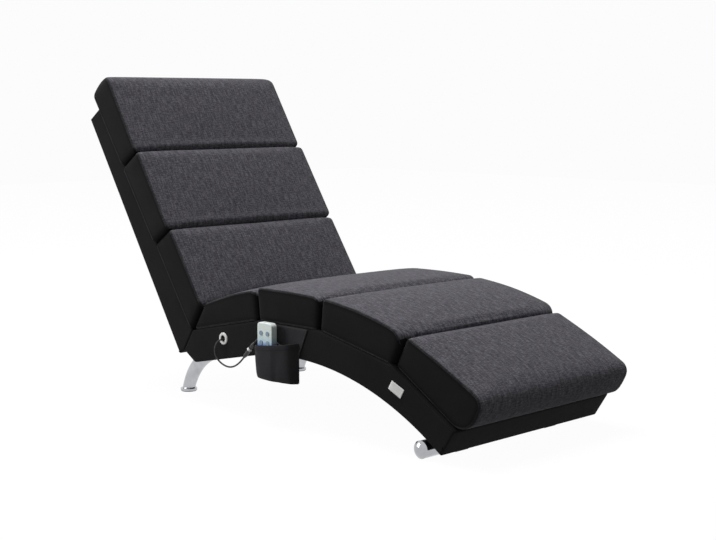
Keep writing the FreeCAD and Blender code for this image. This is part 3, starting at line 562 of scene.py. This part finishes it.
# The hand control's lead: from the plug into a hank behind the hand control, then up into it
fold_radius = 3 * CORD
pitch = CORD + HANK_GAP
hank_x = -HALF - CLOTH - TIE - 0.6 - CORD / 2
low_z = POCKET_BOTTOM + CLOTH + 1 + CORD / 2 + fold_radius + HANK_TURNS * pitch / 2
high_z = low_z + HANK_RUN
loop_y = HAND_Y - 36 + fold_radius
run = np.arange(HANK_TURNS + 1)
run_y = loop_y + np.where(run % 2 == 1, 1, -1) * (fold_radius + run * pitch / 2)
lead_route = [
    plug_end,
    plug_end + plug_axis * 16,
    (hank_x - 2, HAND_Y + 20, high_z + 44),
    (hank_x, HAND_Y - 18, high_z + 32),
    (hank_x, run_y[HANK_TURNS], high_z + 20),
]
# A fold's control points stand round a half circle, 30 degrees apart, so that their lines touch it
fold_angles = np.radians(np.arange(15, 180, 30))
for k in range(HANK_TURNS, 0, -1):
    level, bow = (low_z, -1) if (HANK_TURNS - k) % 2 == 0 else (high_z, 1)
    middle = (run_y[k] + run_y[k - 1]) / 2
    wide = (run_y[k] - run_y[k - 1]) / 2 / math.cos(math.radians(15))
    lead_route += [
        (hank_x, middle + wide * math.cos(a), level + bow * abs(wide) * math.sin(a)) for a in fold_angles
    ]
over = hank_x - pitch
lead_end = np.array([-HALF - 22, HAND_Y, HAND_BOTTOM])
lead_route += [
    (hank_x, run_y[0], high_z - 12),
    (over, run_y[0], low_z),
    (over - 1.4, run_y[0] + 1, low_z - 17),
    (over - 4, run_y[0] + 13, low_z - 28),
    (over - 9, run_y[0] + 29, low_z - 24),
    (lead_end[0], HAND_Y, low_z - 12),
    lead_end,
]
guide = nurbs("handset_lead_line", lead_route)
line_mesh = bpy.data.meshes.new_from_object(guide)
spine = read_points(line_mesh)
bpy.data.objects.remove(guide)
bpy.data.meshes.remove(line_mesh)
CORD_SIDES = 12
handset_cord = add_piece(
    "handset_cord", tube_rings(spine, CORD / 2000, CORD_SIDES), tube_faces(len(spine), CORD_SIDES),
    finishes["cord_rubber"], None,
)
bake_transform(handset_cord)
# Weights that rise from the one body to the other along the lead's last stretch, in metres, not across
# space; they are not applied to the lead
FOLLOWS_FROM = 0.075
FOLLOWS_OVER = 0.063
run_length = np.r_[0, np.cumsum(np.linalg.norm(np.diff(spine, axis=0), axis=1))]
free = np.clip((FOLLOWS_FROM - (run_length[-1] - run_length)) / FOLLOWS_OVER, 0, 1)
free = np.repeat(free * free * (3 - 2 * free), CORD_SIDES)
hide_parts("handset_lead")

# Cushions: cuts along the back, thicknesses at the head and foot ends, and the calf cushion's overhang
BACK_CUTS = (-49.0, 200.0, 445.0, BACK_LENGTH)
BACK_THICK = ((90.0, 79.0), (86.0, 79.0), (82.0, 79.0))
SEAT_THICK = ((63.0, 77.0), (84.0, 80.0), (79.0, 80.0), (78.0, 103.0))
CALF_OVERHANG = 18.0
# The knee cushion's end leans over the calf cushion by this angle past the middle of their two headings
KNEE_LEAN = 4.0
# How far each cushion's sides stand out past the base
SPREAD = {
    "back_cushion_top": 12.0, "back_cushion_middle": 12.0, "back_cushion_bottom": 7.0,
    "knee_cushion": -3.0, "calf_cushion": -12.0,
}
# Rise of a cushion's edges at the middle of its length, and the rounding of its foot end at the sides
BOWS = {"seat_cushion": 6.0, "thigh_cushion": 2.5, "knee_cushion": 9.0, "calf_cushion": 4.0}
FOOT_ROUND = {"seat_cushion": 19.0, "thigh_cushion": 24.0, "knee_cushion": 30.0}
# Lift off the deck, play to the next cushion, rounding of the side seam, crown, and corners in plan
LOW = 0.6
PLAY = 0.4
EDGE = 4.5
CROWN = 5.0
CORNER = 15.0
HEAD_CORNER = 24.0
CALF_CORNER = 6.0
# Bulge of the free ends, fading along the cushion
HEAD_BULGE = 8.0
CALF_BULGE = 7.0
BULGE_FADE = 60.0
# Lip at the foot of a back cushion, its place before the end, and its spread
LIP = 5.5
LIP_PLACE = 10.0
# Points of an edge's arc, of an end, across the top and of the rings on a side panel; step along
ARC = 6
TALL = 9
ACROSS = 72
RINGS = 7
STEP = 7.0
# Most that a point may move when the cushion swells, in metres
MOST = 0.0045

Cushion = namedtuple("Cushion", "name start angle u0 u1 lean0 lean1 thick0 thick1 free")
fold = heading(FOLD_HEADING)


def lean(angle, edge):
    """How far an end plane along an edge goes along the deck for each step off it."""
    return (edge @ heading(angle)) / (edge @ off(angle))


def cushion_list():
    """Each cushion's node, deck start and heading, ends, leans of the ends, thicknesses and free ends.

    A back cushion is a little thicker at its upper end. Two seat cushions meet on the plane at the
    middle of their headings. A free end has no neighbour.
    """
    start = CREASE - heading(BACK_HEADING) * BACK_LENGTH
    leans = (0.0, 0.0, 0.0, lean(BACK_HEADING, fold))
    rows = []
    for i, name in enumerate(("back_cushion_top", "back_cushion_middle", "back_cushion_bottom")):
        ends = (*BACK_CUTS[i:i + 2], *leans[i:i + 2], *BACK_THICK[i])
        rows.append(Cushion(name, start, BACK_HEADING, *ends, (i == 0, False)))
    middles = [(a + b) / 2 for a, b in zip(SEAT_HEADINGS, SEAT_HEADINGS[1:])]
    middles[2] += KNEE_LEAN
    edges = [fold, *map(off, middles)]
    start = CREASE
    for i, name in enumerate(("seat_cushion", "thigh_cushion", "knee_cushion", "calf_cushion")):
        angle, length, last = SEAT_HEADINGS[i], SEAT_LENGTHS[i], i == 3
        leans = (lean(angle, edges[i]), 0.0 if last else lean(angle, edges[i + 1]))
        ends = (0.0, length + (CALF_OVERHANG if last else 0.0), *leans, *SEAT_THICK[i])
        rows.append(Cushion(name, start, angle, *ends, (False, last)))
        start = start + heading(angle) * length
    return rows


def deck_points(u, x, n, start, angle):
    """Deck coordinates in mm (along, across, off) turned to metres in the part's frame."""
    y = start[0] + u * heading(angle)[0] + n * off(angle)[0]
    z = start[1] + u * heading(angle)[1] + n * off(angle)[1]
    return place(np.stack([x, y, z], -1))


def rounded_outline(corners, radii, counts):
    """Closed chain: at each corner a tangent arc of ARC points, then that many points to the next arc."""
    arcs = []
    around = zip(np.roll(corners, 1, 0), corners, np.roll(corners, -1, 0), radii)
    for before, corner, after, radius in around:
        a = (before - corner) / np.linalg.norm(before - corner)
        b = (after - corner) / np.linalg.norm(after - corner)
        half = math.acos(a @ b) / 2
        centre = corner + (a + b) / np.linalg.norm(a + b) * radius / math.sin(half)
        first = corner + a * radius / math.tan(half) - centre
        last = corner + b * radius / math.tan(half) - centre
        sweep = math.pi - 2 * half
        t = np.linspace(0, 1, ARC)[:, None]
        arcs.append(centre + (np.sin((1 - t) * sweep) * first + np.sin(t * sweep) * last) / math.sin(sweep))
    chain = []
    for arc, following, count in zip(arcs, arcs[1:] + arcs[:1], counts):
        t = np.linspace(0, 1, count + 2)[1:-1, None]
        chain += [arc, arc[-1] + t * (following[0] - arc[-1])]
    return np.vstack(chain)


def end_planes(n, cushion):
    """Where the cushion begins and ends along the deck at a height above it."""
    return cushion.u0 + cushion.lean0 * n + PLAY, cushion.u1 + cushion.lean1 * n - PLAY


def side_outlines(cushion):
    """Side outlines of a cushion at mid width and at its sides, and the line that a side panel closes on.

    The four corners are rounded by arcs, larger at the sides. The closing line lies at half the height,
    half a height short of each end, and each point of an outline has its place on it.
    """
    (low0, low1), (high0, _), (_, high1) = (
        end_planes(n, cushion) for n in (LOW, cushion.thick0, cushion.thick1)
    )
    corners = np.array([(low0, LOW), (high0, cushion.thick0), (high1, cushion.thick1), (low1, LOW)])
    head = ((20.0, 24.0), (22.0, 28.0)) if cushion.free[0] else ((5.0, 6.0), (8.0, 15.0))
    foot = ((5.0, 5.0), (FOOT_ROUND.get(cushion.name, 15.0), 8.0))
    if cushion.free[1]:
        foot = ((19.0, 38.0), (21.0, 40.0))
    long = round((cushion.u1 - cushion.u0) / STEP)
    counts = (TALL, long, TALL, long)
    tight, loose = (rounded_outline(corners, (*head[i], *foot[i]), counts) for i in (0, 1))
    along = np.linspace(0, 1, long + ARC)
    ends = np.zeros(TALL + ARC)
    place_on = np.roll(np.r_[ends, along, ends + 1, along[::-1]], ARC // 2)
    half_height = (cushion.thick0 + cushion.thick1) / 4
    first, last = end_planes(half_height, cushion)
    first, last = first + half_height, last - half_height
    core = np.stack([first + place_on * (last - first), np.full(len(place_on), half_height)], -1)
    return tight, loose, core


def cushion_grid(cushion):
    """Boxed cushion as one grid, across by around.

    Around: the side outline in the plane of the deck's length and height, going from the one at mid
    width to the one at the sides by the sixth power of the place across. Across: from the middle line of
    one side panel over rings to its rim, over a quarter circle of radius EDGE to the top, across the
    width and down the other side. In plan the corners follow a circle, wider at the free head end and
    tighter at the free foot end, and each cushion has its own width. A free end bulges by a sine of the
    height. The top is crowned by a sine along and a parabola across, and its edges bow by a sine along.
    """
    tight, loose, core = side_outlines(cushion)
    middle = np.linspace(-1, 1, ACROSS + 2)[1:-1]
    turn = np.radians([90, 60, 30, 0])
    ring = np.r_[np.linspace(1, 0, RINGS + 1)[:-1], 0 * turn]
    inset = np.r_[np.full(RINGS, EDGE), EDGE * (1 - np.cos(turn))]
    away = np.r_[np.zeros(RINGS), EDGE * (1 - np.sin(turn))]
    ring, inset, away = (
        np.r_[part, 0 * middle + fill, part[::-1]][:, None]
        for part, fill in ((ring, 0.0), (inset, 0.0), (away, EDGE))
    )
    rim = np.ones(RINGS + len(turn))
    side = np.r_[-rim, middle, rim][:, None]
    uv = tight + (loose - tight) * (side ** 6)[..., None]
    ahead = np.roll(uv, -1, 1) - np.roll(uv, 1, 1)
    ahead /= np.linalg.norm(ahead, axis=2, keepdims=True)
    uv = uv + np.stack([ahead[..., 1], -ahead[..., 0]], -1) * inset[..., None]
    uv = uv + (core - uv) * ring[..., None]
    u, n = uv[..., 0], uv[..., 1]
    first, last = end_planes(n, cushion)
    share = np.clip((u - first) / (last - first), 0, 1)
    from_end = np.minimum(u - first, last - u)
    head_free, foot_free = cushion.free
    corner = np.where(
        share > 0.5, CALF_CORNER if foot_free else CORNER, HEAD_CORNER if head_free else CORNER
    )
    cut = corner - np.clip(from_end, 0, corner)
    wide = HALF + SPREAD.get(cushion.name, 0.0)
    half = wide - corner + np.sqrt(corner ** 2 - cut ** 2)
    x = side * (half - away)
    if foot_free:
        swing = np.sin(np.pi * np.clip(n / cushion.thick1, 0, 1))
        u = u + CALF_BULGE * swing * np.clip((u - last + BULGE_FADE) / BULGE_FADE, 0, 1)
    if head_free:
        swing = np.sin(np.pi * np.clip(n / cushion.thick0, 0, 1))
        u = u - HEAD_BULGE * swing * np.clip((first + BULGE_FADE - u) / BULGE_FADE, 0, 1)
    height = (cushion.thick0 + cushion.thick1) / 2
    bow = BOWS.get(cushion.name, 0.0)
    full = 1 - (x / wide) ** 2
    n = n * (1 + (full + (bow + CROWN * full) * np.sin(np.pi * share)) / height)
    length = np.r_[0, np.cumsum(np.linalg.norm(np.diff(tight, axis=0), axis=1))]
    from_seam = np.where(ring > 0, -EDGE - ring * height / 2, half - np.abs(x)) + 0 * x
    from_seam = np.where((ring == 0) & (inset > 0), EDGE * (0.5 - inset / EDGE), from_seam)
    cloth = np.stack([x, np.broadcast_to(length, x.shape), from_seam], -1)
    # The side cloth also turns in for 26 mm between two cushions, below their tops
    joined = np.where(share > 0.5, not foot_free, not head_free)
    turned_in = joined & (n < 0.9 * height) & (from_end < 8) & (np.abs(x) > wide - 26)
    black = (from_seam < 0) | turned_in
    held = (inset > 0.1 * EDGE) & (ring == 0) | (n < 3)
    return u, x, n, cloth, black, held


def keep_apart(points, cushion):
    """A swollen cushion stays above its deck and behind the planes where it meets its neighbours.

    The foot end of a back cushion has a low lip, a bell curve along, where it is pressed on the next.
    """
    x, y, z = (points * 1000 - SHIFT).T
    y, z = y - cushion.start[0], z - cushion.start[1]
    ahead, up = heading(cushion.angle), off(cushion.angle)
    u = y * ahead[0] + z * ahead[1]
    n = np.maximum(y * up[0] + z * up[1], LOW)
    first, last = end_planes(n, cushion)
    u = np.clip(u, -np.inf if cushion.free[0] else first, np.inf if cushion.free[1] else last)
    if cushion.name in ("back_cushion_top", "back_cushion_middle"):
        bell = np.exp(-((last - u - LIP_PLACE) / LIP_PLACE) ** 2)
        n = n + LIP * bell * (1 - (x / HALF) ** 8).clip(0) * (n > 0.6 * cushion.thick1)
    return deck_points(u, x, n, cushion.start, cushion.angle)


padded = []
for cushion in cushion_list():
    u, x, n, cloth, black, held = cushion_grid(cushion)
    faces = grid_faces(*x.shape, closed=True)
    piece = add_piece(
        cushion.name + "_padded", deck_points(u, x, n, cushion.start, cushion.angle), faces,
        finishes["cushion_fabric"],
    )
    piece.data.materials.append(black_sides)
    dark = black.reshape(-1)[faces].sum(1) >= 3
    piece.data.polygons.foreach_set("material_index", dark.astype(np.int32))
    store(piece.data, "cloth", "FLOAT_VECTOR", cloth / 1000)
    store(piece.data, "held", "FLOAT", np.broadcast_to(held, x.shape))
    face_outward(piece.data, merge=1e-5)
    padded.append((cushion, piece, read_points(piece.data)))
swollen = [rest for cushion, piece, rest in padded]
for cushion, piece, rest in padded:
    held = np.zeros(len(rest), np.float32)
    piece.data.attributes["held"].data.foreach_get("value", held)
    sewn = piece.vertex_groups.new(name="sewn")
    sewn.add(np.flatnonzero(held > 0.5).tolist(), 1.0, "REPLACE")
    swell = piece.modifiers.new("swell", "CLOTH").settings
    swell.vertex_group_mass = "sewn"
    swell.use_pressure = True
    swell.uniform_pressure_force = 4.0
    swell.effector_weights.gravity = 0.0
for step in range(1, 21):
    scene.frame_set(step)
graph = bpy.context.evaluated_depsgraph_get()
swollen = [read_points(piece.evaluated_get(graph).data) for cushion, piece, rest in padded]
scene.frame_set(1)
for (cushion, piece, rest), moved in zip(padded, swollen):
    piece.modifiers.clear()
    piece.vertex_groups.clear()
    piece.data.attributes.remove(piece.data.attributes["held"])
    move = moved - rest
    far = np.linalg.norm(move, axis=1, keepdims=True)
    capped = rest + move * np.minimum(1, MOST / np.maximum(far, 1e-9))
    piece.data.vertices.foreach_set("co", keep_apart(capped, cushion).astype(np.float32).ravel())
    piece.data.update()
    smooth = piece.modifiers.new("smooth", "SUBSURF")
    smooth.levels = 1
    smooth.render_levels = 1
    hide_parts(cushion.name)

# Base covers: points along and up a side, across the top and round an edge; the bolt's width in metres
SKIN_LONG = 240
SKIN_TALL = 25
SKIN_ACROSS = 22
SKIN_TURN = 6
SKIN_ROUND = 5.0
BOLT = 1.4


def even_line(points, count):
    """A chain of straight runs as that many points at even steps along it."""
    points = np.asarray(points, float)
    length = np.r_[0, np.cumsum(np.linalg.norm(np.diff(points, axis=0), axis=1))]
    spots = np.linspace(0, length[-1], count)
    return np.stack([np.interp(spots, length, points[:, i]) for i in (0, 1)], -1)


def skin(name, top, low):
    """Cloth drawn over a block whose side lies between a top and a low chain of points.

    The outline goes along the top, down the end, back along the low chain and up, with its
    corners softened by averaging neighbours. It is carried across the width and turns in over
    a quarter circle at each side, and each side is filled by straight lines from top to low.
    """
    long, tall = SKIN_LONG, SKIN_TALL
    top, low = even_line(top, long), even_line(low, long)
    end, begin = even_line([top[-1], low[-1]], tall), even_line([low[0], top[0]], tall)
    outline = np.vstack([top, end[1:-1], low[::-1], begin[1:-1]])
    for _ in range(2):
        outline = (np.roll(outline, 1, 0) + 2 * outline + np.roll(outline, -1, 0)) / 4
    following = np.roll(outline, -1, 0)
    ahead = following - np.roll(outline, 1, 0)
    ahead /= np.linalg.norm(ahead, axis=1, keepdims=True)
    signed_area = 0.5 * np.sum(outline[:, 0] * following[:, 1] - following[:, 0] * outline[:, 1])
    inward = np.stack([-ahead[:, 1], ahead[:, 0]], -1) * np.sign(signed_area)
    turn = np.linspace(0, np.pi / 2, SKIN_TURN)
    flat = HALF - SKIN_ROUND
    edge_x = flat + SKIN_ROUND * np.sin(turn)
    edge_in = SKIN_ROUND * (1 - np.cos(turn))
    xs = np.r_[-edge_x[::-1], np.linspace(-flat, flat, SKIN_ACROSS + 2)[1:-1], edge_x]
    ins = np.r_[edge_in[::-1], np.zeros(SKIN_ACROSS), edge_in]
    ring = outline[None] + inward[None] * ins[:, None, None]
    across = np.broadcast_to(xs[:, None, None], (*ring.shape[:2], 1))
    points = np.concatenate([across, ring], -1).reshape(-1, 3)
    count = len(outline)
    faces = [grid_faces(len(xs), count, True)]
    for first in (0, count * (len(xs) - 1)):
        rim = points[first:first + count]
        down = np.linspace(0, 1, tall)[None, 1:-1, None]
        upper = rim[1:long - 1, None]
        lower = rim[long + tall - 2:2 * long + tall - 2][::-1][1:-1, None]
        index = np.zeros((long, tall), int)
        index[:, 0] = first + np.arange(long)
        index[:, -1] = first + np.arange(2 * long + tall - 3, long + tall - 3, -1)
        index[-1, 1:-1] = first + long + np.arange(tall - 2)
        index[0, 1:-1] = first + count - 1 - np.arange(tall - 2)
        index[1:-1, 1:-1] = len(points) + np.arange((long - 2) * (tall - 2)).reshape(long - 2, tall - 2)
        points = np.vstack([points, ((1 - down) * upper + down * lower).reshape(-1, 3)])
        faces.append(index.ravel()[grid_faces(long, tall)])
    piece = add_piece(name, place(points), np.vstack(faces), finishes["cover_fabric"])
    face_outward(piece.data)
    add_wall(piece, "cloth", CLOTH / 1000)
    cloth_area(piece.data) / BOLT
    return piece


# The seat's underside: straight from the heel to where it touches the arch, then round to the front end
deck_ends = [CREASE]
for angle, length in zip(SEAT_HEADINGS, SEAT_LENGTHS):
    deck_ends.append(deck_ends[-1] + heading(angle) * length)
arch = np.array([
    (deck_ends[1][0] + deck_ends[2][0]) / 2 - UNDERSIDE_SHIFT, UNDERSIDE_CREST - UNDERSIDE_RADIUS
])
heel = CREASE - fold * FOLD_DEPTH
tangent = arch + rear_n * UNDERSIDE_RADIUS
heel_front = tangent + rear_u * ((heel[0] - HEEL_SETBACK - tangent[0]) / rear_u[0])
calf_n = off(SEAT_HEADINGS[3])
drop = deck_ends[4] - arch
reach = drop @ calf_n
front_low = deck_ends[4] - calf_n * (reach - math.sqrt(reach ** 2 - drop @ drop + UNDERSIDE_RADIUS ** 2))
sweep = np.linspace(*[math.atan2(*(point - arch)[::-1]) for point in (front_low, tangent)], 40)
under = arch + UNDERSIDE_RADIUS * np.stack([np.cos(sweep), np.sin(sweep)], -1)
seat_low = np.vstack([[heel, heel_front], under[::-1]])
seat_cloth = skin("seat_cloth", deck_ends, seat_low)
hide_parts("seat_cover")
back_u, back_n = heading(BACK_HEADING), off(BACK_HEADING)
head = CREASE - back_u * BACK_LENGTH
back_low = [head - back_n * BACK_DEPTH_TOP, CREASE + back_u * BACK_HEEL - back_n * BACK_DEPTH_LOW]
back_cloth = skin("back_cloth", [head, CREASE, heel], back_low)
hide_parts("back_cover")

# Side pocket: edges along the base, foot of the bag, its depth, and how soon it is full from each edge
POCKET_REAR = -278.0
POCKET_FRONT = -419.5
POCKET_LOW = 111.5
POCKET_DEPTH = 39.0
FILL_REAR = 10.5
FILL_FRONT = 5.0
# Its mouth: height at one place, and rise to the front
MOUTH_AT = -310.0
MOUTH_HEIGHT = 197.0
MOUTH_RISE = 0.13
# Its back sheet: height where the front edge starts to slant, top, and front end of the top
FLAP_SLANT = 180.0
FLAP_TOP = 249.8
FLAP_FRONT = -451.5
HEM_SIDES = 16
BINDING_SIDES = 12


def mouth_height(y):
    """Height of the pocket's mouth: rising evenly to the front."""
    return MOUTH_HEIGHT + MOUTH_RISE * (MOUTH_AT - y)


def pocket_rows():
    """Bag of the pocket: at each height it bows off the base side by one minus an exponential of the
    distance from each edge, shallower to the front, with two slack folds that fade to the mouth.

    Rise is each row's share of the height, and fill its share of the depth.
    """
    rise = np.array([0, 0, 0.004, 0.03, 0.08, 0.16, 0.28, 0.4, 0.52, 0.64, 0.76, 0.88, 0.96, 1])[:, None]
    fill = np.array([0.04, 0.35, 0.62, 0.76, 0.84, 0.9, 0.94, 0.96, 0.98, 0.99, 1, 1, 1, 1])[:, None]
    across = (1 - np.cos(np.linspace(0, np.pi, 61))) / 2
    y = POCKET_REAR + (POCKET_FRONT - POCKET_REAR) * across
    bow = (1 - np.exp((y - POCKET_REAR) / FILL_REAR)) * (1 - np.exp((POCKET_FRONT - y) / FILL_FRONT))
    bow = bow * (1 - 0.35 * np.clip((-360.0 - y) / 60.0, 0, 1))
    z = POCKET_LOW + rise * (mouth_height(y) - POCKET_LOW)
    crease = 2.2 * np.exp(-((across - 0.62 - 0.1 * rise) / 0.07) ** 2) * (1 - rise)
    slack = 1.3 * np.sin(9.0 * across + 4.0 * rise) * (1 - 0.6 * rise)
    x = -HALF - 1.0 - fill * bow * POCKET_DEPTH + bow * (crease + slack)
    return np.stack([x, np.broadcast_to(y, x.shape), z], -1)


def flap_edge(z):
    """Front edge of the pocket's back sheet: upright beside the bag, slanting out above it."""
    return np.interp(z, (FLAP_SLANT, FLAP_TOP), (POCKET_FRONT - 0.5, FLAP_FRONT))


def flap_rows():
    """Back sheet of the pocket on the base side, up to the cushion's edge, with a ripple of two sines."""
    z = np.linspace(POCKET_LOW + 1, FLAP_TOP, 24)[:, None]
    share = np.linspace(0, 1, 26)
    y = POCKET_REAR + share * (flap_edge(z) - POCKET_REAR)
    x = -HALF - 0.9 - 0.35 * np.sin(5 * share * np.pi) * np.sin(z / 23.0)
    return np.stack([x, y, np.broadcast_to(z, y.shape)], -1)


def hem_rows(line, wide, thick):
    """Folded band along the mouth: a flat rounded section, a circle with its sine and cosine to the power
    0.4, carried along a line, wide along its fall and thick along the outward normal."""
    outward = np.cross(np.gradient(line, axis=0), (0.0, 0.0, 1.0))
    outward /= np.linalg.norm(outward, axis=1, keepdims=True)
    outward *= np.sign(outward[len(outward) // 2] @ (-1.0, 0.0, 0.0))
    line, outward = line[1:-1], outward[1:-1]
    turn = np.linspace(0, 2 * np.pi, HEM_SIDES, endpoint=False)
    fall = np.sign(np.sin(turn)) * np.abs(np.sin(turn)) ** 0.4 * wide / 2
    proud = np.sign(np.cos(turn)) * np.abs(np.cos(turn)) ** 0.4 * thick / 2
    down = np.array([0.0, 0.0, -1.0]) * (fall + wide / 2 - 1)[:, None]
    return line[:, None] + down + outward[:, None] * proud[:, None]


def binding_rows():
    """Tape along the back sheet's front edge: a flat ellipse carried up that edge."""
    z = np.linspace(POCKET_LOW + 2, FLAP_TOP - 0.8, 40)[:, None]
    turn = np.linspace(0, 2 * np.pi, BINDING_SIDES, endpoint=False)
    x = -HALF - 1.6 + 1.5 * np.cos(turn) + 0 * z
    return np.stack([x, flap_edge(z) + 3.0 * np.sin(turn), z + 0 * turn], -1)


bag, flap = pocket_rows(), flap_rows()
pocket_points = np.vstack([bag.reshape(-1, 3), flap.reshape(-1, 3)])
pocket_faces = [*grid_faces(*bag.shape[:2]), *grid_faces(*flap.shape[:2], start=bag.size // 3)]
pocket = add_piece("pocket_cloth", place(pocket_points), pocket_faces, pocket_canvas)
add_wall(pocket, "cloth", 0.0013, offset=0.0)
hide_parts("side_pocket")
for name, rows in (("pocket_hem", hem_rows(bag[-1], 13.0, 2.6)), ("pocket_binding", binding_rows())):
    trim = add_piece(name, place(rows), tube_faces(*rows.shape[:2]), pocket_canvas)
    face_outward(trim.data)
POCKET_FLAT = 0.2
cloth_area(pocket.data) / POCKET_FLAT


def tag_rows(corners, along, across):
    """Blank sewn-on tag: a flat grid between four corners that lifts off the base by a square across."""
    s, t = np.meshgrid(np.linspace(0, 1, along), np.linspace(0, 1, across), indexing="ij")
    s, t = s[..., None], t[..., None]
    near = (1 - s) * corners[0] + s * corners[1]
    far = (1 - s) * corners[3] + s * corners[2]
    lift = -HALF - 0.7 - 1.6 * t ** 2 - 0.5 * np.sin(6 * s) * t
    return np.concatenate([lift, (1 - t) * near + t * far], -1)


tag_points = tag_rows(np.array([(-735.5, 167.0), (-774.5, 150.0), (-763.5, 128.5), (-725.5, 147.0)]), 15, 10)
tag = add_piece("blank_tag", place(tag_points), grid_faces(15, 10), tag_tape)
add_wall(tag, "tape", 0.0004)

# Floor, backdrop and light
WHITE = (1.0, 1.0, 1.0, 1.0)


def seen_directly(tree):
    """One for rays from the camera, off gloss and through glass; zero for the light on matte surfaces."""
    ray = add(tree, "ShaderNodeLightPath").outputs
    seen = ray["Is Camera Ray"]
    for kind in ("Is Glossy Ray", "Is Transmission Ray"):
        seen = add(tree, "ShaderNodeMath", {0: seen, 1: ray[kind]}, operation="MAXIMUM").outputs[0]
    return seen


# The floor's own white leaves a quarter to its matte, which takes the shadow
floor_material = bpy.data.materials.new("white_studio_floor")
floor_material.use_nodes = True
tree = floor_material.node_tree
tree.nodes.clear()
share = add(tree, "ShaderNodeMath", {0: seen_directly(tree), 1: 0.75}, operation="MULTIPLY").outputs[0]
matte = add(tree, "ShaderNodeBsdfDiffuse", {"Color": linear("#6e6e6e")}).outputs[0]
glow = add(tree, "ShaderNodeEmission", {"Color": WHITE, "Strength": 1.29}).outputs[0]
mixed = add(tree, "ShaderNodeMixShader", {0: share, 1: matte, 2: glow}).outputs[0]
add(tree, "ShaderNodeOutputMaterial", {"Surface": mixed})
floor_mesh = bpy.data.meshes.new("floor")
floor_mesh.from_pydata([(-9, -9, 0), (9, -9, 0), (9, 9, 0), (-9, 9, 0)], [], [(0, 1, 2, 3)])
floor_mesh.materials.append(floor_material)
add_object("floor", floor_mesh)

world = bpy.data.worlds.new("studio")
world.use_nodes = True
scene.world = world
tree = world.node_tree
tree.nodes.clear()
dim, white = (
    add(tree, "ShaderNodeBackground", {"Color": WHITE, "Strength": strength}).outputs[0]
    for strength in (0.25, 0.972)
)
mixed = add(tree, "ShaderNodeMixShader", {0: seen_directly(tree), 1: dim, 2: white}).outputs[0]
add(tree, "ShaderNodeOutputWorld", {"Surface": mixed})


def lamp(name, spot, aim, size, power):
    """Square soft lamp at a spot, turned to an aim point."""
    light = bpy.data.lights.new(name, "AREA")
    light.size = size
    light.energy = power
    made = add_object(name, light)
    made.location = spot
    away = np.asarray(spot, float) - np.asarray(aim, float)
    flat = math.hypot(away[0], away[1])
    made.rotation_euler = (math.atan2(flat, away[2]), 0.0, math.atan2(away[0], -away[1]))
    made.visible_camera = False


lamp("overhead", (-0.3, 1.3, 6.5), (0.0, 0.0, 0.3), 3.2, 380.0)
lamp("side_fill", (-2.2, 1.6, 1.1), (-0.3, 0.2, 0.4), 1.4, 34.0)
scene.view_settings.view_transform = "Standard"
